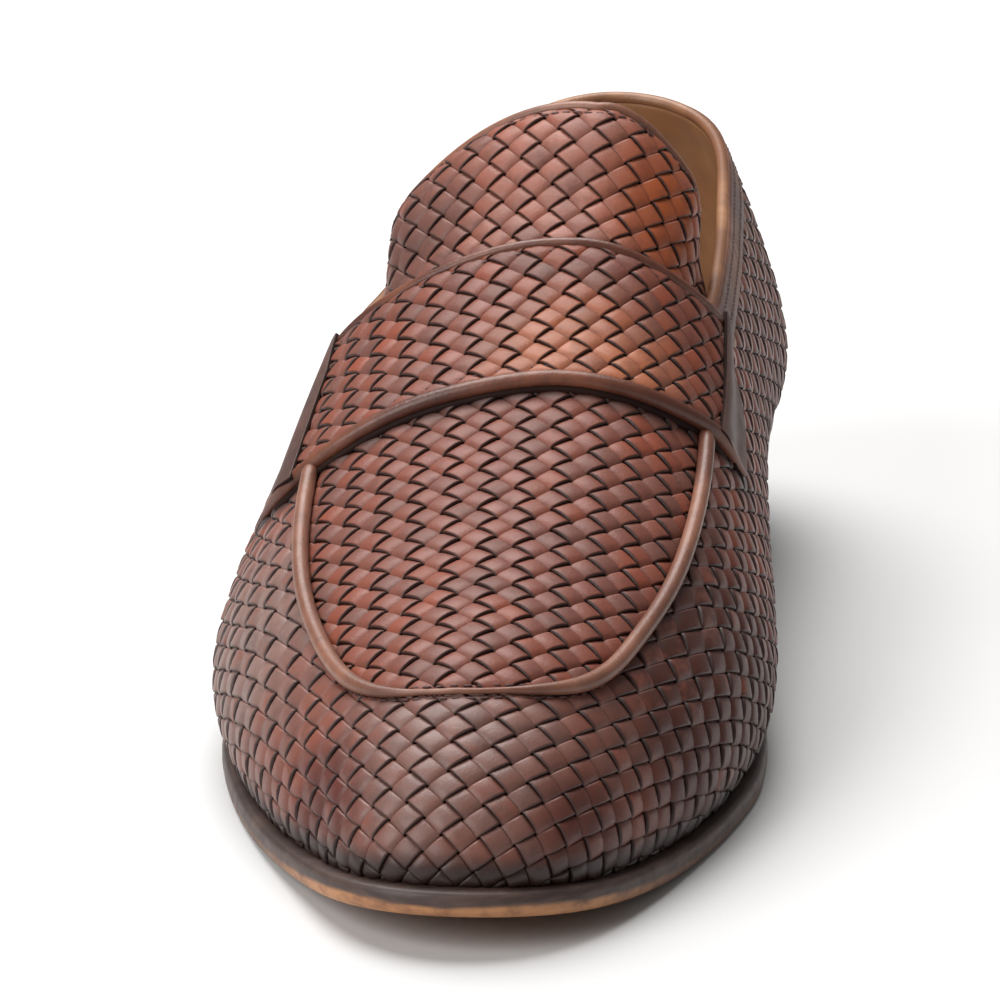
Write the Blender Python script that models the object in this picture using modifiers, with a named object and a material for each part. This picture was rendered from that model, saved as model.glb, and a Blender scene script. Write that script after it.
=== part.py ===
# Woven leather loafer for the right foot: sole, heel, insole, hollow upper, tongue, saddle strap with
# its two side tabs, and the raised edge round the apron. The toe points to -Y and the inner side is +X.
import math

import bmesh
import bpy
import numpy as np

MM = 0.001

# Lengths in millimetres, measured back from the toe of the last
LAST_LENGTH = 291.0
RIDGE_FRONT = 32.0
RIDGE_REAR = 30.0
THROAT = 146.0
FLAT_FRONT = 66.0
FLAT_REAR = 112.0
HEEL_BREAST = 218.0

# Sideways place of the toe's tip and the heel's back, and where the last stands on the floor
TIP_X = 4.5
HEEL_X = 0.0
PLACE_X = 1.9
PLACE_Y = 0.3

# Thicknesses and heights
WALL = 2.2
GAP = 0.3
OVERLAY_GAP = 0.4
OUTSOLE_THICKNESS = 5.0
OUTSOLE_ROUNDING = 0.8
INSOLE_THICKNESS = 2.5
HEEL_HEIGHT = 25.0
HEEL_TAPER = 1.5
HEEL_TAPER_HALFWAY = 1.0
HEEL_INSET = 0.6
BREAST_HOLLOW = 6.0
BREAST_RADIUS = 120.0
BREAST_CUT_HEIGHT = 3 * HEEL_HEIGHT
TOE_SPRING = 8.0
BULGE_PEAK = 18.0

# The feather line of the last on both sides, how far the wall swells past it, and how square the section is
OUTLINE_COLUMNS = ("from_toe", "lateral", "medial", "lateral_bulge", "medial_bulge", "fullness")
OUTLINE = (
    (8.0, 12.5, 24.0, 2.0, 2.0, 2.15),
    (24.0, 23.0, 34.5, 2.5, 2.5, 2.15),
    (50.0, 36.5, 43.5, 3.5, 3.5, 2.15),
    (80.0, 48.0, 50.0, 5.0, 4.0, 2.15),
    (108.0, 54.0, 51.5, 5.0, 4.0, 2.1),
    (145.0, 53.5, 46.5, 4.0, 4.0, 2.05),
    (185.0, 46.0, 39.0, 3.0, 5.6, 1.86),
    (225.0, 40.0, 37.0, 3.6, 6.4, 1.62),
    (258.0, 36.5, 36.0, 4.2, 5.4, 1.6),
    (281.0, 25.5, 25.0, 4.4, 4.8, 1.7),
)

# The ridge along the top of the last
RIDGE_COLUMNS = ("from_toe", "x", "z")
RIDGE = (
    (0.0, 4.5, 29.0),
    (32.0, 4.5, 45.0),
    (60.0, 5.0, 53.0),
    (90.0, 6.0, 63.0),
    (120.0, 7.5, 76.0),
    (150.0, 9.0, 94.0),
    (176.0, 9.5, 115.0),
    (205.0, 7.0, 127.0),
    (250.0, 3.0, 125.0),
    (291.0, 0.0, 119.0),
)

# Height of the collar line behind the throat
COLLAR_COLUMNS = ("from_toe", "lateral", "medial")
COLLAR = (
    (150.0, 85.0, 86.0),
    (155.0, 78.0, 81.0),
    (161.0, 73.0, 78.5),
    (168.0, 70.0, 77.6),
    (180.0, 69.0, 78.4),
    (195.0, 69.0, 80.2),
    (215.0, 71.5, 82.4),
    (240.0, 77.0, 85.5),
    (265.0, 85.5, 88.8),
    (291.0, 92.0, 92.0),
)

# How far the sole's edge stands past the feather line
SOLE_EDGE_COLUMNS = ("from_toe", "lateral", "medial")
SOLE_EDGE = (
    (0.0, 4.0, 4.0),
    (40.0, 3.8, 3.8),
    (90.0, 3.0, 3.5),
    (140.0, 1.5, 0.5),
    (180.0, 0.5, -1.5),
    (220.0, 1.5, 1.0),
    (291.0, 2.5, 2.5),
)

# Strap and tongue, in distance back along the ridge and distance round the section from it
STRAP_COLUMNS = ("girth", "front", "rear")
STRAP = (
    (-61.0, 122.9, 157.0),
    (-45.0, 120.0, 152.8),
    (-30.0, 118.3, 150.4),
    (-15.0, 117.0, 150.0),
    (0.0, 116.9, 150.1),
    (10.0, 120.0, 150.9),
    (20.0, 123.8, 152.9),
    (30.0, 128.6, 156.3),
    (40.0, 134.4, 160.5),
)
STRAP_THICKNESS = 2.6
# Each tab: its name, its side, where its top and bottom edges lie round the section, and its edges' slants
TABS = (
    ("strap_tab_lateral", -1, 61.6, 76.0, 0.45, -0.3),
    ("strap_tab_medial", 1, 40.6, 56.0, 0.4, -0.25),
)
TAB_THICKNESS = 2.2
TONGUE_ROOT = 137.0
TONGUE_CORNER = 160.0
TONGUE_TIP = 183.0
TONGUE_DIP = 5.0
TONGUE_LATERAL_GIRTH = 63.0
TONGUE_MEDIAL_GIRTH = 49.0
TONGUE_LATERAL_FLARE = 6.5
TONGUE_MEDIAL_FLARE = 4.5
TONGUE_SQUARENESS = 3.8
TONGUE_THICKNESS = 2.6
TONGUE_GAP = 1.6
# Where the tongue leaves the upper's inside and where it is free: along the ridge, and over the collar
TONGUE_CLEAR = 158.0
TONGUE_FLUSH = 176.0
TONGUE_LEAVES = 0.02
TONGUE_FREE = 0.14

# Height of the apron's edge up the section, over the angle round the toe
APRON_COLUMNS = ("angle", "lateral", "medial")
APRON = (
    (0.0, 0.885, 0.885),
    (10.0, 0.85, 0.857),
    (20.0, 0.756, 0.78),
    (30.0, 0.62, 0.66),
    (36.0, 0.555, 0.592),
    (42.0, 0.522, 0.556),
    (50.0, 0.507, 0.546),
    (60.0, 0.502, 0.538),
    (70.0, 0.504, 0.538),
    (79.0, 0.50, 0.535),
)
PIPING_ENDS = (-75.0, 79.0)
PIPING_SIDE_RADIUS = 1.7
PIPING_TOE_RADIUS = 0.9
PIPING_FADE_ANGLE = 45.0

# Mesh density
ROUND_STEP = 4.0
THROAT_STEPS = (0.0, 1.2, 2.6, 4.4, 6.8)
THROAT_CLEARANCE = 1.5
THROAT_TOLERANCE = 0.000001
WALL_ROWS = 12
BREAST_SIDES = 96
STRAP_GRID = (8, 25)
TAB_GRID = (7, 9)
TONGUE_GRID = (13, 25)
PIPING_POINTS = 41
PIPING_RESOLUTION = 2
SECTION_STEPS = 81
BISECTIONS = 40
SHARP_EDGE = 40.0
SURFACE_STEP = 0.2
ANGLE_STEP = 0.002
WELD = 0.000001

# Leathers: colour and roughness
WOVEN_LEATHER = ((0.16, 0.065, 0.045), 0.45)
TAB_LEATHER = ((0.16, 0.065, 0.045), 0.4)
HEEL_LEATHER = ((0.045, 0.025, 0.02), 0.3)
SOLE_LEATHER = ((0.42, 0.22, 0.11), 0.45)
LINING_LEATHER = ((0.42, 0.22, 0.11), 0.6)
PIPING_LEATHER = ((0.26, 0.11, 0.065), 0.4)


def column(table, columns, name):
    place = columns.index(name)
    return np.array([row[place] for row in table])


def smooth_curve(knots, values):
    knots = np.asarray(knots, float)
    values = np.asarray(values, float)
    count = len(knots)
    spans = np.diff(knots)
    slopes = np.diff(values) / spans
    system = np.eye(count)
    right = np.zeros(count)
    for i in range(1, count - 1):
        system[i, i - 1:i + 2] = spans[i - 1], 2 * (spans[i - 1] + spans[i]), spans[i]
        right[i] = 6 * (slopes[i] - slopes[i - 1])
    bends = np.linalg.solve(system, right)

    def curve(x):
        x = np.clip(np.asarray(x, float), knots[0], knots[-1])
        i = np.clip(np.searchsorted(knots, x) - 1, 0, count - 2)
        a = (knots[i + 1] - x) / spans[i]
        b = (x - knots[i]) / spans[i]
        bend = (a**3 - a) * bends[i] + (b**3 - b) * bends[i + 1]
        return a * values[i] + b * values[i + 1] + bend * spans[i] ** 2 / 6

    return curve


def smooth_step(x):
    x = np.clip(x, 0, 1)
    return x * x * (3 - 2 * x)


def angle_of(from_toe):
    return np.arccos(1 - 2 * np.asarray(from_toe, float) / LAST_LENGTH)


def station(angle):
    return LAST_LENGTH * (1 - np.cos(angle)) / 2


def round_the_last(lateral, medial, tip, heel):
    side = angle_of(column(OUTLINE, OUTLINE_COLUMNS, "from_toe"))
    knots = np.concatenate([[0.0], side, [math.pi], 2 * math.pi - side[::-1]])
    values = np.concatenate([[tip], medial, [heel], lateral[::-1]])
    turns = np.concatenate([knots - 2 * math.pi, knots, knots + 2 * math.pi])
    curve = smooth_curve(turns, np.tile(values, 3))
    return lambda angle: curve(np.mod(angle, 2 * math.pi))


def outline_column(name):
    return column(OUTLINE, OUTLINE_COLUMNS, name)


def on_both_sides(lateral, medial):
    return round_the_last(lateral, medial, (lateral[0] + medial[0]) / 2, (lateral[-1] + medial[-1]) / 2)


outline_x = round_the_last(-outline_column("lateral"), outline_column("medial"), TIP_X, HEEL_X)
bulge_at = on_both_sides(outline_column("lateral_bulge"), outline_column("medial_bulge"))
fullness_at = on_both_sides(outline_column("fullness"), outline_column("fullness"))
ridge_x = smooth_curve(column(RIDGE, RIDGE_COLUMNS, "from_toe"), column(RIDGE, RIDGE_COLUMNS, "x"))
ridge_z = smooth_curve(column(RIDGE, RIDGE_COLUMNS, "from_toe"), column(RIDGE, RIDGE_COLUMNS, "z"))
ridge_share = (LAST_LENGTH - RIDGE_FRONT - RIDGE_REAR) / LAST_LENGTH


def ridge_station(angle):
    return RIDGE_FRONT + ridge_share * station(angle)


def meridian_of(along):
    return (np.asarray(along, float) - RIDGE_FRONT) / ridge_share


def sole_bottom(from_toe):
    toe = np.clip((FLAT_FRONT - from_toe) / FLAT_FRONT, 0, None)
    shank = smooth_step((from_toe - FLAT_REAR) / (HEEL_BREAST - FLAT_REAR))
    return TOE_SPRING * toe**2 + HEEL_HEIGHT * shank


# A point of the last, at an angle round the foot from the toe and a rise from the feather line to the ridge
def last_point(angle, rise):
    angle, rise = np.broadcast_arrays(np.asarray(angle, float), np.asarray(rise, float))
    base_y = station(angle)
    top_y = ridge_station(angle)
    base_x = outline_x(angle)
    top_x = ridge_x(top_y)
    power = 2 / fullness_at(angle)
    turn = np.clip(rise, 0, 1) * math.pi / 2
    inward = 1 - np.clip(np.cos(turn), 0, 1) ** power
    height = np.clip(np.sin(turn), 0, 1) ** power
    x = base_x + (top_x - base_x) * inward
    y = base_y + (top_y - base_y) * inward
    low = sole_bottom(base_y) + OUTSOLE_THICKNESS + GAP
    z = low + (ridge_z(y) - low) * height
    lift = (z - low) / BULGE_PEAK
    out = bulge_at(angle) * lift * np.exp(1 - lift) * (1 - inward)
    run = np.hypot(base_x - top_x, base_y - top_y)
    x = x + out * (base_x - top_x) / run
    y = y + out * (base_y - top_y) / run
    return np.stack([x, y - LAST_LENGTH / 2, z], -1)


# Angle and rise of the point at a distance along the ridge and round the section, inner side positive
def angle_and_rise(along, girth):
    along, girth = np.broadcast_arrays(np.asarray(along, float), np.asarray(girth, float))
    angle = angle_of(meridian_of(along))
    angle = np.where(girth < 0, 2 * math.pi - angle, angle)
    rises = np.linspace(1, 0, SECTION_STEPS)
    sections = last_point(angle[..., None], rises)
    steps = np.linalg.norm(np.diff(sections, axis=-2), axis=-1)
    lengths = np.concatenate([np.zeros(angle.shape + (1,)), np.cumsum(steps, -1)], -1)
    rise = np.empty(angle.shape)
    for place in np.ndindex(angle.shape):
        rise[place] = np.interp(abs(girth[place]), lengths[place], rises)
    return angle, rise


def surface_at(along, girth, height):
    def flat(a, g):
        return last_point(*angle_and_rise(a, g))

    lengthwise = flat(along + SURFACE_STEP, girth) - flat(along - SURFACE_STEP, girth)
    across = flat(along, girth + SURFACE_STEP) - flat(along, girth - SURFACE_STEP)
    normal = np.cross(across, lengthwise)
    normal /= np.linalg.norm(normal, axis=-1, keepdims=True)
    return flat(along, girth) + normal * np.asarray(height)[..., None]


def collar_rise(angle):
    throat = float(meridian_of(THROAT))
    knots = np.concatenate([[throat], column(COLLAR, COLLAR_COLUMNS, "from_toe")])
    heights = []
    for side in ("medial", "lateral"):
        values = np.concatenate([[ridge_z(THROAT)], column(COLLAR, COLLAR_COLUMNS, side)])
        heights.append(smooth_curve(knots, values)(station(angle)))
    wanted = np.where(angle <= math.pi, heights[0], heights[1])
    low = np.zeros_like(angle)
    high = np.ones_like(angle)
    for _ in range(BISECTIONS):
        middle = (low + high) / 2
        above = last_point(angle, middle)[..., 2] > wanted
        high = np.where(above, middle, high)
        low = np.where(above, low, middle)
    return np.where(station(angle) <= throat + THROAT_TOLERANCE, 1.0, low)


# The plan of the feather line, moved outward
def outline_ring(angle, margin, z):
    def plan(a):
        return np.stack([outline_x(a), station(a) - LAST_LENGTH / 2], -1)

    travel = plan(angle + ANGLE_STEP) - plan(angle - ANGLE_STEP)
    outward = np.stack([travel[:, 1], -travel[:, 0]], -1)
    outward /= np.linalg.norm(outward, axis=-1, keepdims=True)
    ring = plan(angle) + outward * np.broadcast_to(margin, angle.shape)[:, None]
    return np.column_stack([ring, np.broadcast_to(z, angle.shape)])


def sole_edge(angle):
    from_toe = column(SOLE_EDGE, SOLE_EDGE_COLUMNS, "from_toe")
    lateral = np.interp(station(angle), from_toe, column(SOLE_EDGE, SOLE_EDGE_COLUMNS, "lateral"))
    medial = np.interp(station(angle), from_toe, column(SOLE_EDGE, SOLE_EDGE_COLUMNS, "medial"))
    return np.where(angle <= math.pi, medial, lateral)


# Angles from the toe round the inner side to the heel and back round the outer side
def round_angles():
    throat = math.degrees(float(angle_of(meridian_of(THROAT))))
    fine = [throat + step for step in THROAT_STEPS]
    even = np.arange(0.0, 180.0 + ROUND_STEP / 2, ROUND_STEP)
    low = throat - THROAT_CLEARANCE
    high = fine[-1] + THROAT_CLEARANCE
    half = np.radians(sorted([a for a in even if not low < a < high] + fine))
    return np.concatenate([half, 2 * math.pi - half[-2:0:-1]])


def leather(name, finish):
    colour, roughness = finish
    material = bpy.data.materials.new(name)
    material.use_nodes = True
    shader = material.node_tree.nodes["Principled BSDF"]
    shader.inputs["Base Color"].default_value = (*colour, 1.0)
    shader.inputs["Roughness"].default_value = roughness
    shader.inputs["Metallic"].default_value = 0.0
    return material


def add_object(name, data, material):
    thing = bpy.data.objects.new(name, data)
    thing.data.materials.append(material)
    thing.location = (PLACE_X * MM, PLACE_Y * MM, 0.0)
    shoe.objects.link(thing)
    return thing


def mesh_from(name, points, faces):
    mesh = bpy.data.meshes.new(name)
    mesh.from_pydata((np.asarray(points) * MM).tolist(), [], faces)
    work = bmesh.new()
    work.from_mesh(mesh)
    bmesh.ops.remove_doubles(work, verts=work.verts, dist=WELD)
    work.to_mesh(mesh)
    work.free()
    mesh.shade_smooth()
    return mesh


# A sheet of points by rows, with its thickness along the outward side where positive
def add_sheet(name, grid, thickness, closed, material):
    rows, columns = grid.shape[:2]
    faces = []
    for i in range(rows - 1):
        for j in range(columns if closed else columns - 1):
            k = (j + 1) % columns
            faces.append((i * columns + j, i * columns + k, (i + 1) * columns + k, (i + 1) * columns + j))
    thing = add_object(name, mesh_from(name, grid.reshape(-1, 3), faces), material)
    shell = thing.modifiers.new("thickness", "SOLIDIFY")
    shell.thickness = abs(thickness) * MM
    shell.offset = math.copysign(1.0, thickness)
    return thing


# A loft through closed rings, with caps of strips between the two sides of the first and last ring
def add_loft(name, rings, material):
    count = len(rings[0])
    half = count // 2
    faces = []
    for level in range(len(rings) - 1):
        for j in range(count):
            k = (j + 1) % count
            low = level * count
            high = low + count
            faces.append((low + j, low + k, high + k, high + j))
    for base in (0, (len(rings) - 1) * count):
        faces.append((base, base + 1, base + count - 1))
        for j in range(1, (count - 1) // 2):
            faces.append((base + j, base + j + 1, base + count - j - 1, base + count - j))
        if count % 2 == 0:
            faces.append((base + half - 1, base + half, base + half + 1))
    mesh = mesh_from(name, np.concatenate(rings), faces)
    work = bmesh.new()
    work.from_mesh(mesh)
    bmesh.ops.recalc_face_normals(work, faces=work.faces)
    work.to_mesh(mesh)
    work.free()
    mesh.set_sharp_from_angle(angle=math.radians(SHARP_EDGE))
    return add_object(name, mesh, material)


def add_outsole():
    angle = round_angles()
    edge = sole_edge(angle)
    low = sole_bottom(station(angle))
    rings = [
        outline_ring(angle, edge - OUTSOLE_ROUNDING, low),
        outline_ring(angle, edge, low + OUTSOLE_THICKNESS / 2),
        outline_ring(angle, edge - OUTSOLE_ROUNDING / 2, low + OUTSOLE_THICKNESS),
    ]
    add_loft("outsole", rings, leather("outsole", SOLE_LEATHER))


def add_insole():
    angle = round_angles()
    inset = -(WALL + OVERLAY_GAP)
    low = sole_bottom(station(angle)) + OUTSOLE_THICKNESS + GAP
    rings = [outline_ring(angle, inset, low), outline_ring(angle, inset, low + INSOLE_THICKNESS)]
    add_loft("insole", rings, leather("insole", LINING_LEATHER))


def add_heel():
    breast = float(angle_of(HEEL_BREAST))
    side = round_angles()
    side = side[(side > breast) & (side <= math.pi)][::-1]
    side = np.append(side, breast)
    other = 2 * math.pi - side[:0:-1]
    around = np.concatenate([side, other])
    rings = []
    for z, taper in ((HEEL_HEIGHT - GAP, 0.0), (HEEL_HEIGHT / 2, HEEL_TAPER_HALFWAY), (0.0, HEEL_TAPER)):
        rings.append(outline_ring(around, sole_edge(around) - HEEL_INSET - taper, z))
    heel = add_loft("heel", rings, leather("heel", HEEL_LEATHER))
    centre_y = HEEL_BREAST - LAST_LENGTH / 2 + BREAST_HOLLOW - BREAST_RADIUS
    bpy.ops.mesh.primitive_cylinder_add(vertices=BREAST_SIDES, radius=BREAST_RADIUS * MM,
                                        depth=BREAST_CUT_HEIGHT * MM)
    cutter = bpy.context.object
    cutter.name = "breast_cutter"
    cutter.location = (PLACE_X * MM, (PLACE_Y + centre_y) * MM, 0.0)
    cutter.hide_render = True
    cutter.display_type = "WIRE"
    for owner in cutter.users_collection:
        owner.objects.unlink(cutter)
    cutters.objects.link(cutter)
    hollow = heel.modifiers.new("breast", "BOOLEAN")
    hollow.operation = "DIFFERENCE"
    hollow.object = cutter


def add_upper():
    angle = round_angles()
    rise = np.linspace(0, 1, WALL_ROWS + 1)[:, None] * collar_rise(angle)
    add_sheet("upper", last_point(angle, rise), -WALL, True, leather("upper", WOVEN_LEATHER))


# The strap's front and rear edges, as one curve on each side of the ridge
def strap_edges(girth):
    rows = np.array(STRAP)
    edges = []
    for name in ("front", "rear"):
        edge = STRAP_COLUMNS.index(name)
        outer, inner = rows[rows[:, 0] <= 0], rows[rows[:, 0] >= 0]
        outer_curve = smooth_curve(outer[:, 0], outer[:, edge])
        inner_curve = smooth_curve(inner[:, 0], inner[:, edge])
        edges.append(np.where(np.asarray(girth) < 0, outer_curve(girth), inner_curve(girth)))
    return edges


def add_strap():
    rows, columns = STRAP_GRID
    girth = np.linspace(STRAP[0][0], STRAP[-1][0], columns)
    front, rear = strap_edges(girth)
    along = front + (rear - front) * np.linspace(0, 1, rows)[:, None]
    grid = surface_at(along, np.broadcast_to(girth, along.shape), np.full(along.shape, OVERLAY_GAP))
    add_sheet("strap", grid, STRAP_THICKNESS, False, leather("strap", WOVEN_LEATHER))


def add_tab(name, side, top, bottom, front_slant, rear_slant):
    rows, columns = TAB_GRID
    girth = np.linspace(top, bottom, columns)
    front, rear = strap_edges(side * top)
    front = front + front_slant * (girth - top)
    rear = rear + rear_slant * (girth - top)
    along = front + (rear - front) * np.linspace(0, 1, rows)[:, None]
    grid = surface_at(along, np.broadcast_to(side * girth, along.shape), np.full(along.shape, OVERLAY_GAP))
    if side < 0:
        grid = grid[:, ::-1]
    add_sheet(name, grid, TAB_THICKNESS, False, leather(name, TAB_LEATHER))


def add_tongue():
    rows, columns = TONGUE_GRID
    spread = np.sin(np.linspace(-1, 1, columns) * math.pi / 2)
    top = (1 - np.abs(spread) ** TONGUE_SQUARENESS) ** (1 / TONGUE_SQUARENESS)
    end = TONGUE_CORNER + (TONGUE_TIP - TONGUE_CORNER) * top - TONGUE_DIP * (1 - spread**2) ** 2
    along = TONGUE_ROOT + (end - TONGUE_ROOT) * np.linspace(0, 1, rows)[:, None]
    half = np.where(spread < 0, TONGUE_LATERAL_GIRTH, TONGUE_MEDIAL_GIRTH)
    girth = np.broadcast_to(half * spread, along.shape)
    angle, rise = angle_and_rise(along, girth)
    free = smooth_step((rise - collar_rise(angle) - TONGUE_LEAVES) / (TONGUE_FREE - TONGUE_LEAVES))
    free = free * smooth_step((along - TONGUE_CLEAR) / (TONGUE_FLUSH - TONGUE_CLEAR))
    flare = np.where(spread < 0, TONGUE_LATERAL_FLARE, TONGUE_MEDIAL_FLARE) * spread**2
    below = WALL + TONGUE_GAP
    grid = surface_at(along, girth, -below + (below + flare) * free)
    add_sheet("tongue", grid, -TONGUE_THICKNESS, False, leather("tongue", WOVEN_LEATHER))


# The apron's edge, over the angle from the toe, outer side negative
def apron_rise(angle):
    knots = column(APRON, APRON_COLUMNS, "angle")
    lateral = column(APRON, APRON_COLUMNS, "lateral")
    medial = column(APRON, APRON_COLUMNS, "medial")
    curve = smooth_curve(np.concatenate([-knots[:0:-1], knots]), np.concatenate([lateral[:0:-1], medial]))
    return curve(angle)


def add_apron_piping():
    angle = np.linspace(*PIPING_ENDS, PIPING_POINTS)
    fade = smooth_step(np.abs(angle) / PIPING_FADE_ANGLE)
    radius = PIPING_TOE_RADIUS + (PIPING_SIDE_RADIUS - PIPING_TOE_RADIUS) * fade
    turn = np.radians(angle)
    rise = apron_rise(angle)
    around = last_point(turn + ANGLE_STEP, rise) - last_point(turn - ANGLE_STEP, rise)
    up = last_point(turn, rise + ANGLE_STEP) - last_point(turn, rise - ANGLE_STEP)
    normal = np.cross(around, up)
    normal /= np.linalg.norm(normal, axis=-1, keepdims=True)
    path = last_point(turn, rise) + normal * (radius + OVERLAY_GAP)[:, None]
    curve = bpy.data.curves.new("apron_piping", "CURVE")
    curve.dimensions = "3D"
    curve.bevel_depth = PIPING_SIDE_RADIUS * MM
    curve.bevel_resolution = PIPING_RESOLUTION
    curve.use_fill_caps = True
    spline = curve.splines.new("POLY")
    spline.points.add(PIPING_POINTS - 1)
    for point, place, size in zip(spline.points, path, radius):
        point.co = (*(place * MM), 1.0)
        point.radius = size / PIPING_SIDE_RADIUS
    add_object("apron_piping", curve, leather("apron_piping", PIPING_LEATHER))


for thing in list(bpy.data.objects):
    bpy.data.objects.remove(thing)
shoe = bpy.data.collections.new("woven_loafer")
cutters = bpy.data.collections.new("cutters")
for group in (shoe, cutters):
    bpy.context.scene.collection.children.link(group)
add_outsole()
add_heel()
add_insole()
add_upper()
add_tongue()
add_strap()
for tab in TABS:
    add_tab(*tab)
add_apron_piping()
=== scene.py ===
import math

import bmesh
import bpy
import numpy as np
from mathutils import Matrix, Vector


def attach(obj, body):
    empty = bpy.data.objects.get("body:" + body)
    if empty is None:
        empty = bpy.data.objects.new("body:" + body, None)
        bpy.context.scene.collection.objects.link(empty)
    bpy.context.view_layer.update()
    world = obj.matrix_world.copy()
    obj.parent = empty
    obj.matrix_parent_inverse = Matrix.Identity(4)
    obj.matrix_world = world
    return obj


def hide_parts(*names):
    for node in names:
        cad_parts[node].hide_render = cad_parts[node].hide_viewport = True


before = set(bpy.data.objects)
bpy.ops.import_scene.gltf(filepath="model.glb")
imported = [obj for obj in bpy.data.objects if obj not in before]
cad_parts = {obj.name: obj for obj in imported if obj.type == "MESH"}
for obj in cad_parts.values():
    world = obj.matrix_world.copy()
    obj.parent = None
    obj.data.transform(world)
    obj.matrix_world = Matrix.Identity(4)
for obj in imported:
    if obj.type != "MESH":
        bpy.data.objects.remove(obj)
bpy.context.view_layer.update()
mm = 0.001
print("frame loaded:", ", ".join(sorted(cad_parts)))

# the last that the shoe is built on, in millimetres back from the toe
lastShape = {
    "length": 291.0, "ridgeFront": 32.0, "ridgeRear": 30.0, "throat": 146.0,
    "flatFront": 66.0, "flatRear": 112.0, "heelBreast": 218.0, "toeSpring": 8.0,
    "tipX": 4.5, "heelX": 0.0, "place": (1.9, 0.3, 0.0), "bulgePeak": 18.0,
    "wall": 2.2, "gap": 0.3, "outsole": 5.0, "heelHeight": 25.0,
}
outlineTable = (  # from toe, lateral, medial, lateral bulge, medial bulge, fullness
    (8.0, 12.5, 24.0, 2.0, 2.0, 2.15),
    (24.0, 23.0, 34.5, 2.5, 2.5, 2.15),
    (50.0, 36.5, 43.5, 3.5, 3.5, 2.15),
    (80.0, 48.0, 50.0, 5.0, 4.0, 2.15),
    (108.0, 54.0, 51.5, 5.0, 4.0, 2.1),
    (145.0, 53.5, 46.5, 4.0, 4.0, 2.05),
    (185.0, 46.0, 39.0, 3.0, 5.6, 1.86),
    (225.0, 40.0, 37.0, 3.6, 6.4, 1.62),
    (258.0, 36.5, 36.0, 4.2, 5.4, 1.6),
    (281.0, 25.5, 25.0, 4.4, 4.8, 1.7),
)
ridgeTable = (  # from toe, sideways, height
    (0.0, 4.5, 29.0), (32.0, 4.5, 45.0), (60.0, 5.0, 53.0), (90.0, 6.0, 63.0), (120.0, 7.5, 76.0),
    (150.0, 9.0, 94.0), (176.0, 9.5, 115.0), (205.0, 7.0, 127.0), (250.0, 3.0, 125.0), (291.0, 0.0, 119.0),
)
collarTable = (  # from toe, lateral height, medial height
    (150.0, 85.0, 86.0), (155.0, 78.0, 81.0), (161.0, 73.0, 78.5), (168.0, 70.0, 77.6), (180.0, 69.0, 78.4),
    (195.0, 69.0, 80.2), (215.0, 71.5, 82.4), (240.0, 77.0, 85.5), (265.0, 85.5, 88.8), (291.0, 92.0, 92.0),
)
soleEdgeTable = (  # from toe, lateral, medial
    (0.0, 4.0, 4.0), (40.0, 3.8, 3.8), (90.0, 3.0, 3.5), (140.0, 1.5, 0.5),
    (180.0, 0.5, -1.5), (220.0, 1.5, 1.0), (291.0, 2.5, 2.5),
)
apronTable = (  # angle, lateral rise, medial rise
    (0.0, 0.885, 0.885), (10.0, 0.85, 0.857), (20.0, 0.756, 0.78), (30.0, 0.62, 0.66), (36.0, 0.555, 0.592),
    (42.0, 0.522, 0.556), (50.0, 0.507, 0.546), (60.0, 0.502, 0.538), (70.0, 0.504, 0.538),
    (79.0, 0.50, 0.535),
)
strapTable = (  # round the section, front edge, rear edge
    (-61.0, 122.9, 157.0), (-45.0, 120.0, 152.8), (-30.0, 118.3, 150.4), (-15.0, 117.0, 150.0),
    (0.0, 116.9, 150.1), (10.0, 120.0, 150.9), (20.0, 123.8, 152.9), (30.0, 128.6, 156.3),
    (40.0, 134.4, 160.5),
)


def smoothCurve(knots, values):  # natural spline
    knots = np.asarray(knots, float)
    values = np.asarray(values, float)
    count = len(knots)
    spans = np.diff(knots)
    slopes = np.diff(values) / spans
    system = np.eye(count)
    right = np.zeros(count)
    for i in range(1, count - 1):
        system[i, i - 1:i + 2] = spans[i - 1], 2 * (spans[i - 1] + spans[i]), spans[i]
        right[i] = 6 * (slopes[i] - slopes[i - 1])
    bends = np.linalg.solve(system, right)

    def curve(x):
        x = np.clip(np.asarray(x, float), knots[0], knots[-1])
        i = np.clip(np.searchsorted(knots, x) - 1, 0, count - 2)
        a = (knots[i + 1] - x) / spans[i]
        b = (x - knots[i]) / spans[i]
        bend = (a**3 - a) * bends[i] + (b**3 - b) * bends[i + 1]
        return a * values[i] + b * values[i + 1] + bend * spans[i] ** 2 / 6

    return curve


def smoothStep(x):
    x = np.clip(x, 0, 1)
    return x * x * (3 - 2 * x)


def angleOf(fromToe):
    return np.arccos(np.clip(1 - 2 * np.asarray(fromToe, float) / lastShape["length"], -1, 1))


def station(angle):
    return lastShape["length"] * (1 - np.cos(angle)) / 2


outlineFromToe, lateralSide, medialSide, lateralBulge, medialBulge, fullness = np.array(outlineTable).T


def roundTheLast(lateral, medial, tip, heel):
    side = angleOf(outlineFromToe)
    knots = np.concatenate([[0.0], side, [math.pi], 2 * math.pi - side[::-1]])
    values = np.concatenate([[tip], medial, [heel], lateral[::-1]])
    turns = np.concatenate([knots - 2 * math.pi, knots, knots + 2 * math.pi])
    curve = smoothCurve(turns, np.tile(values, 3))
    return lambda angle: curve(np.mod(angle, 2 * math.pi))


def onBothSides(lateral, medial):
    return roundTheLast(lateral, medial, (lateral[0] + medial[0]) / 2, (lateral[-1] + medial[-1]) / 2)


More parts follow.
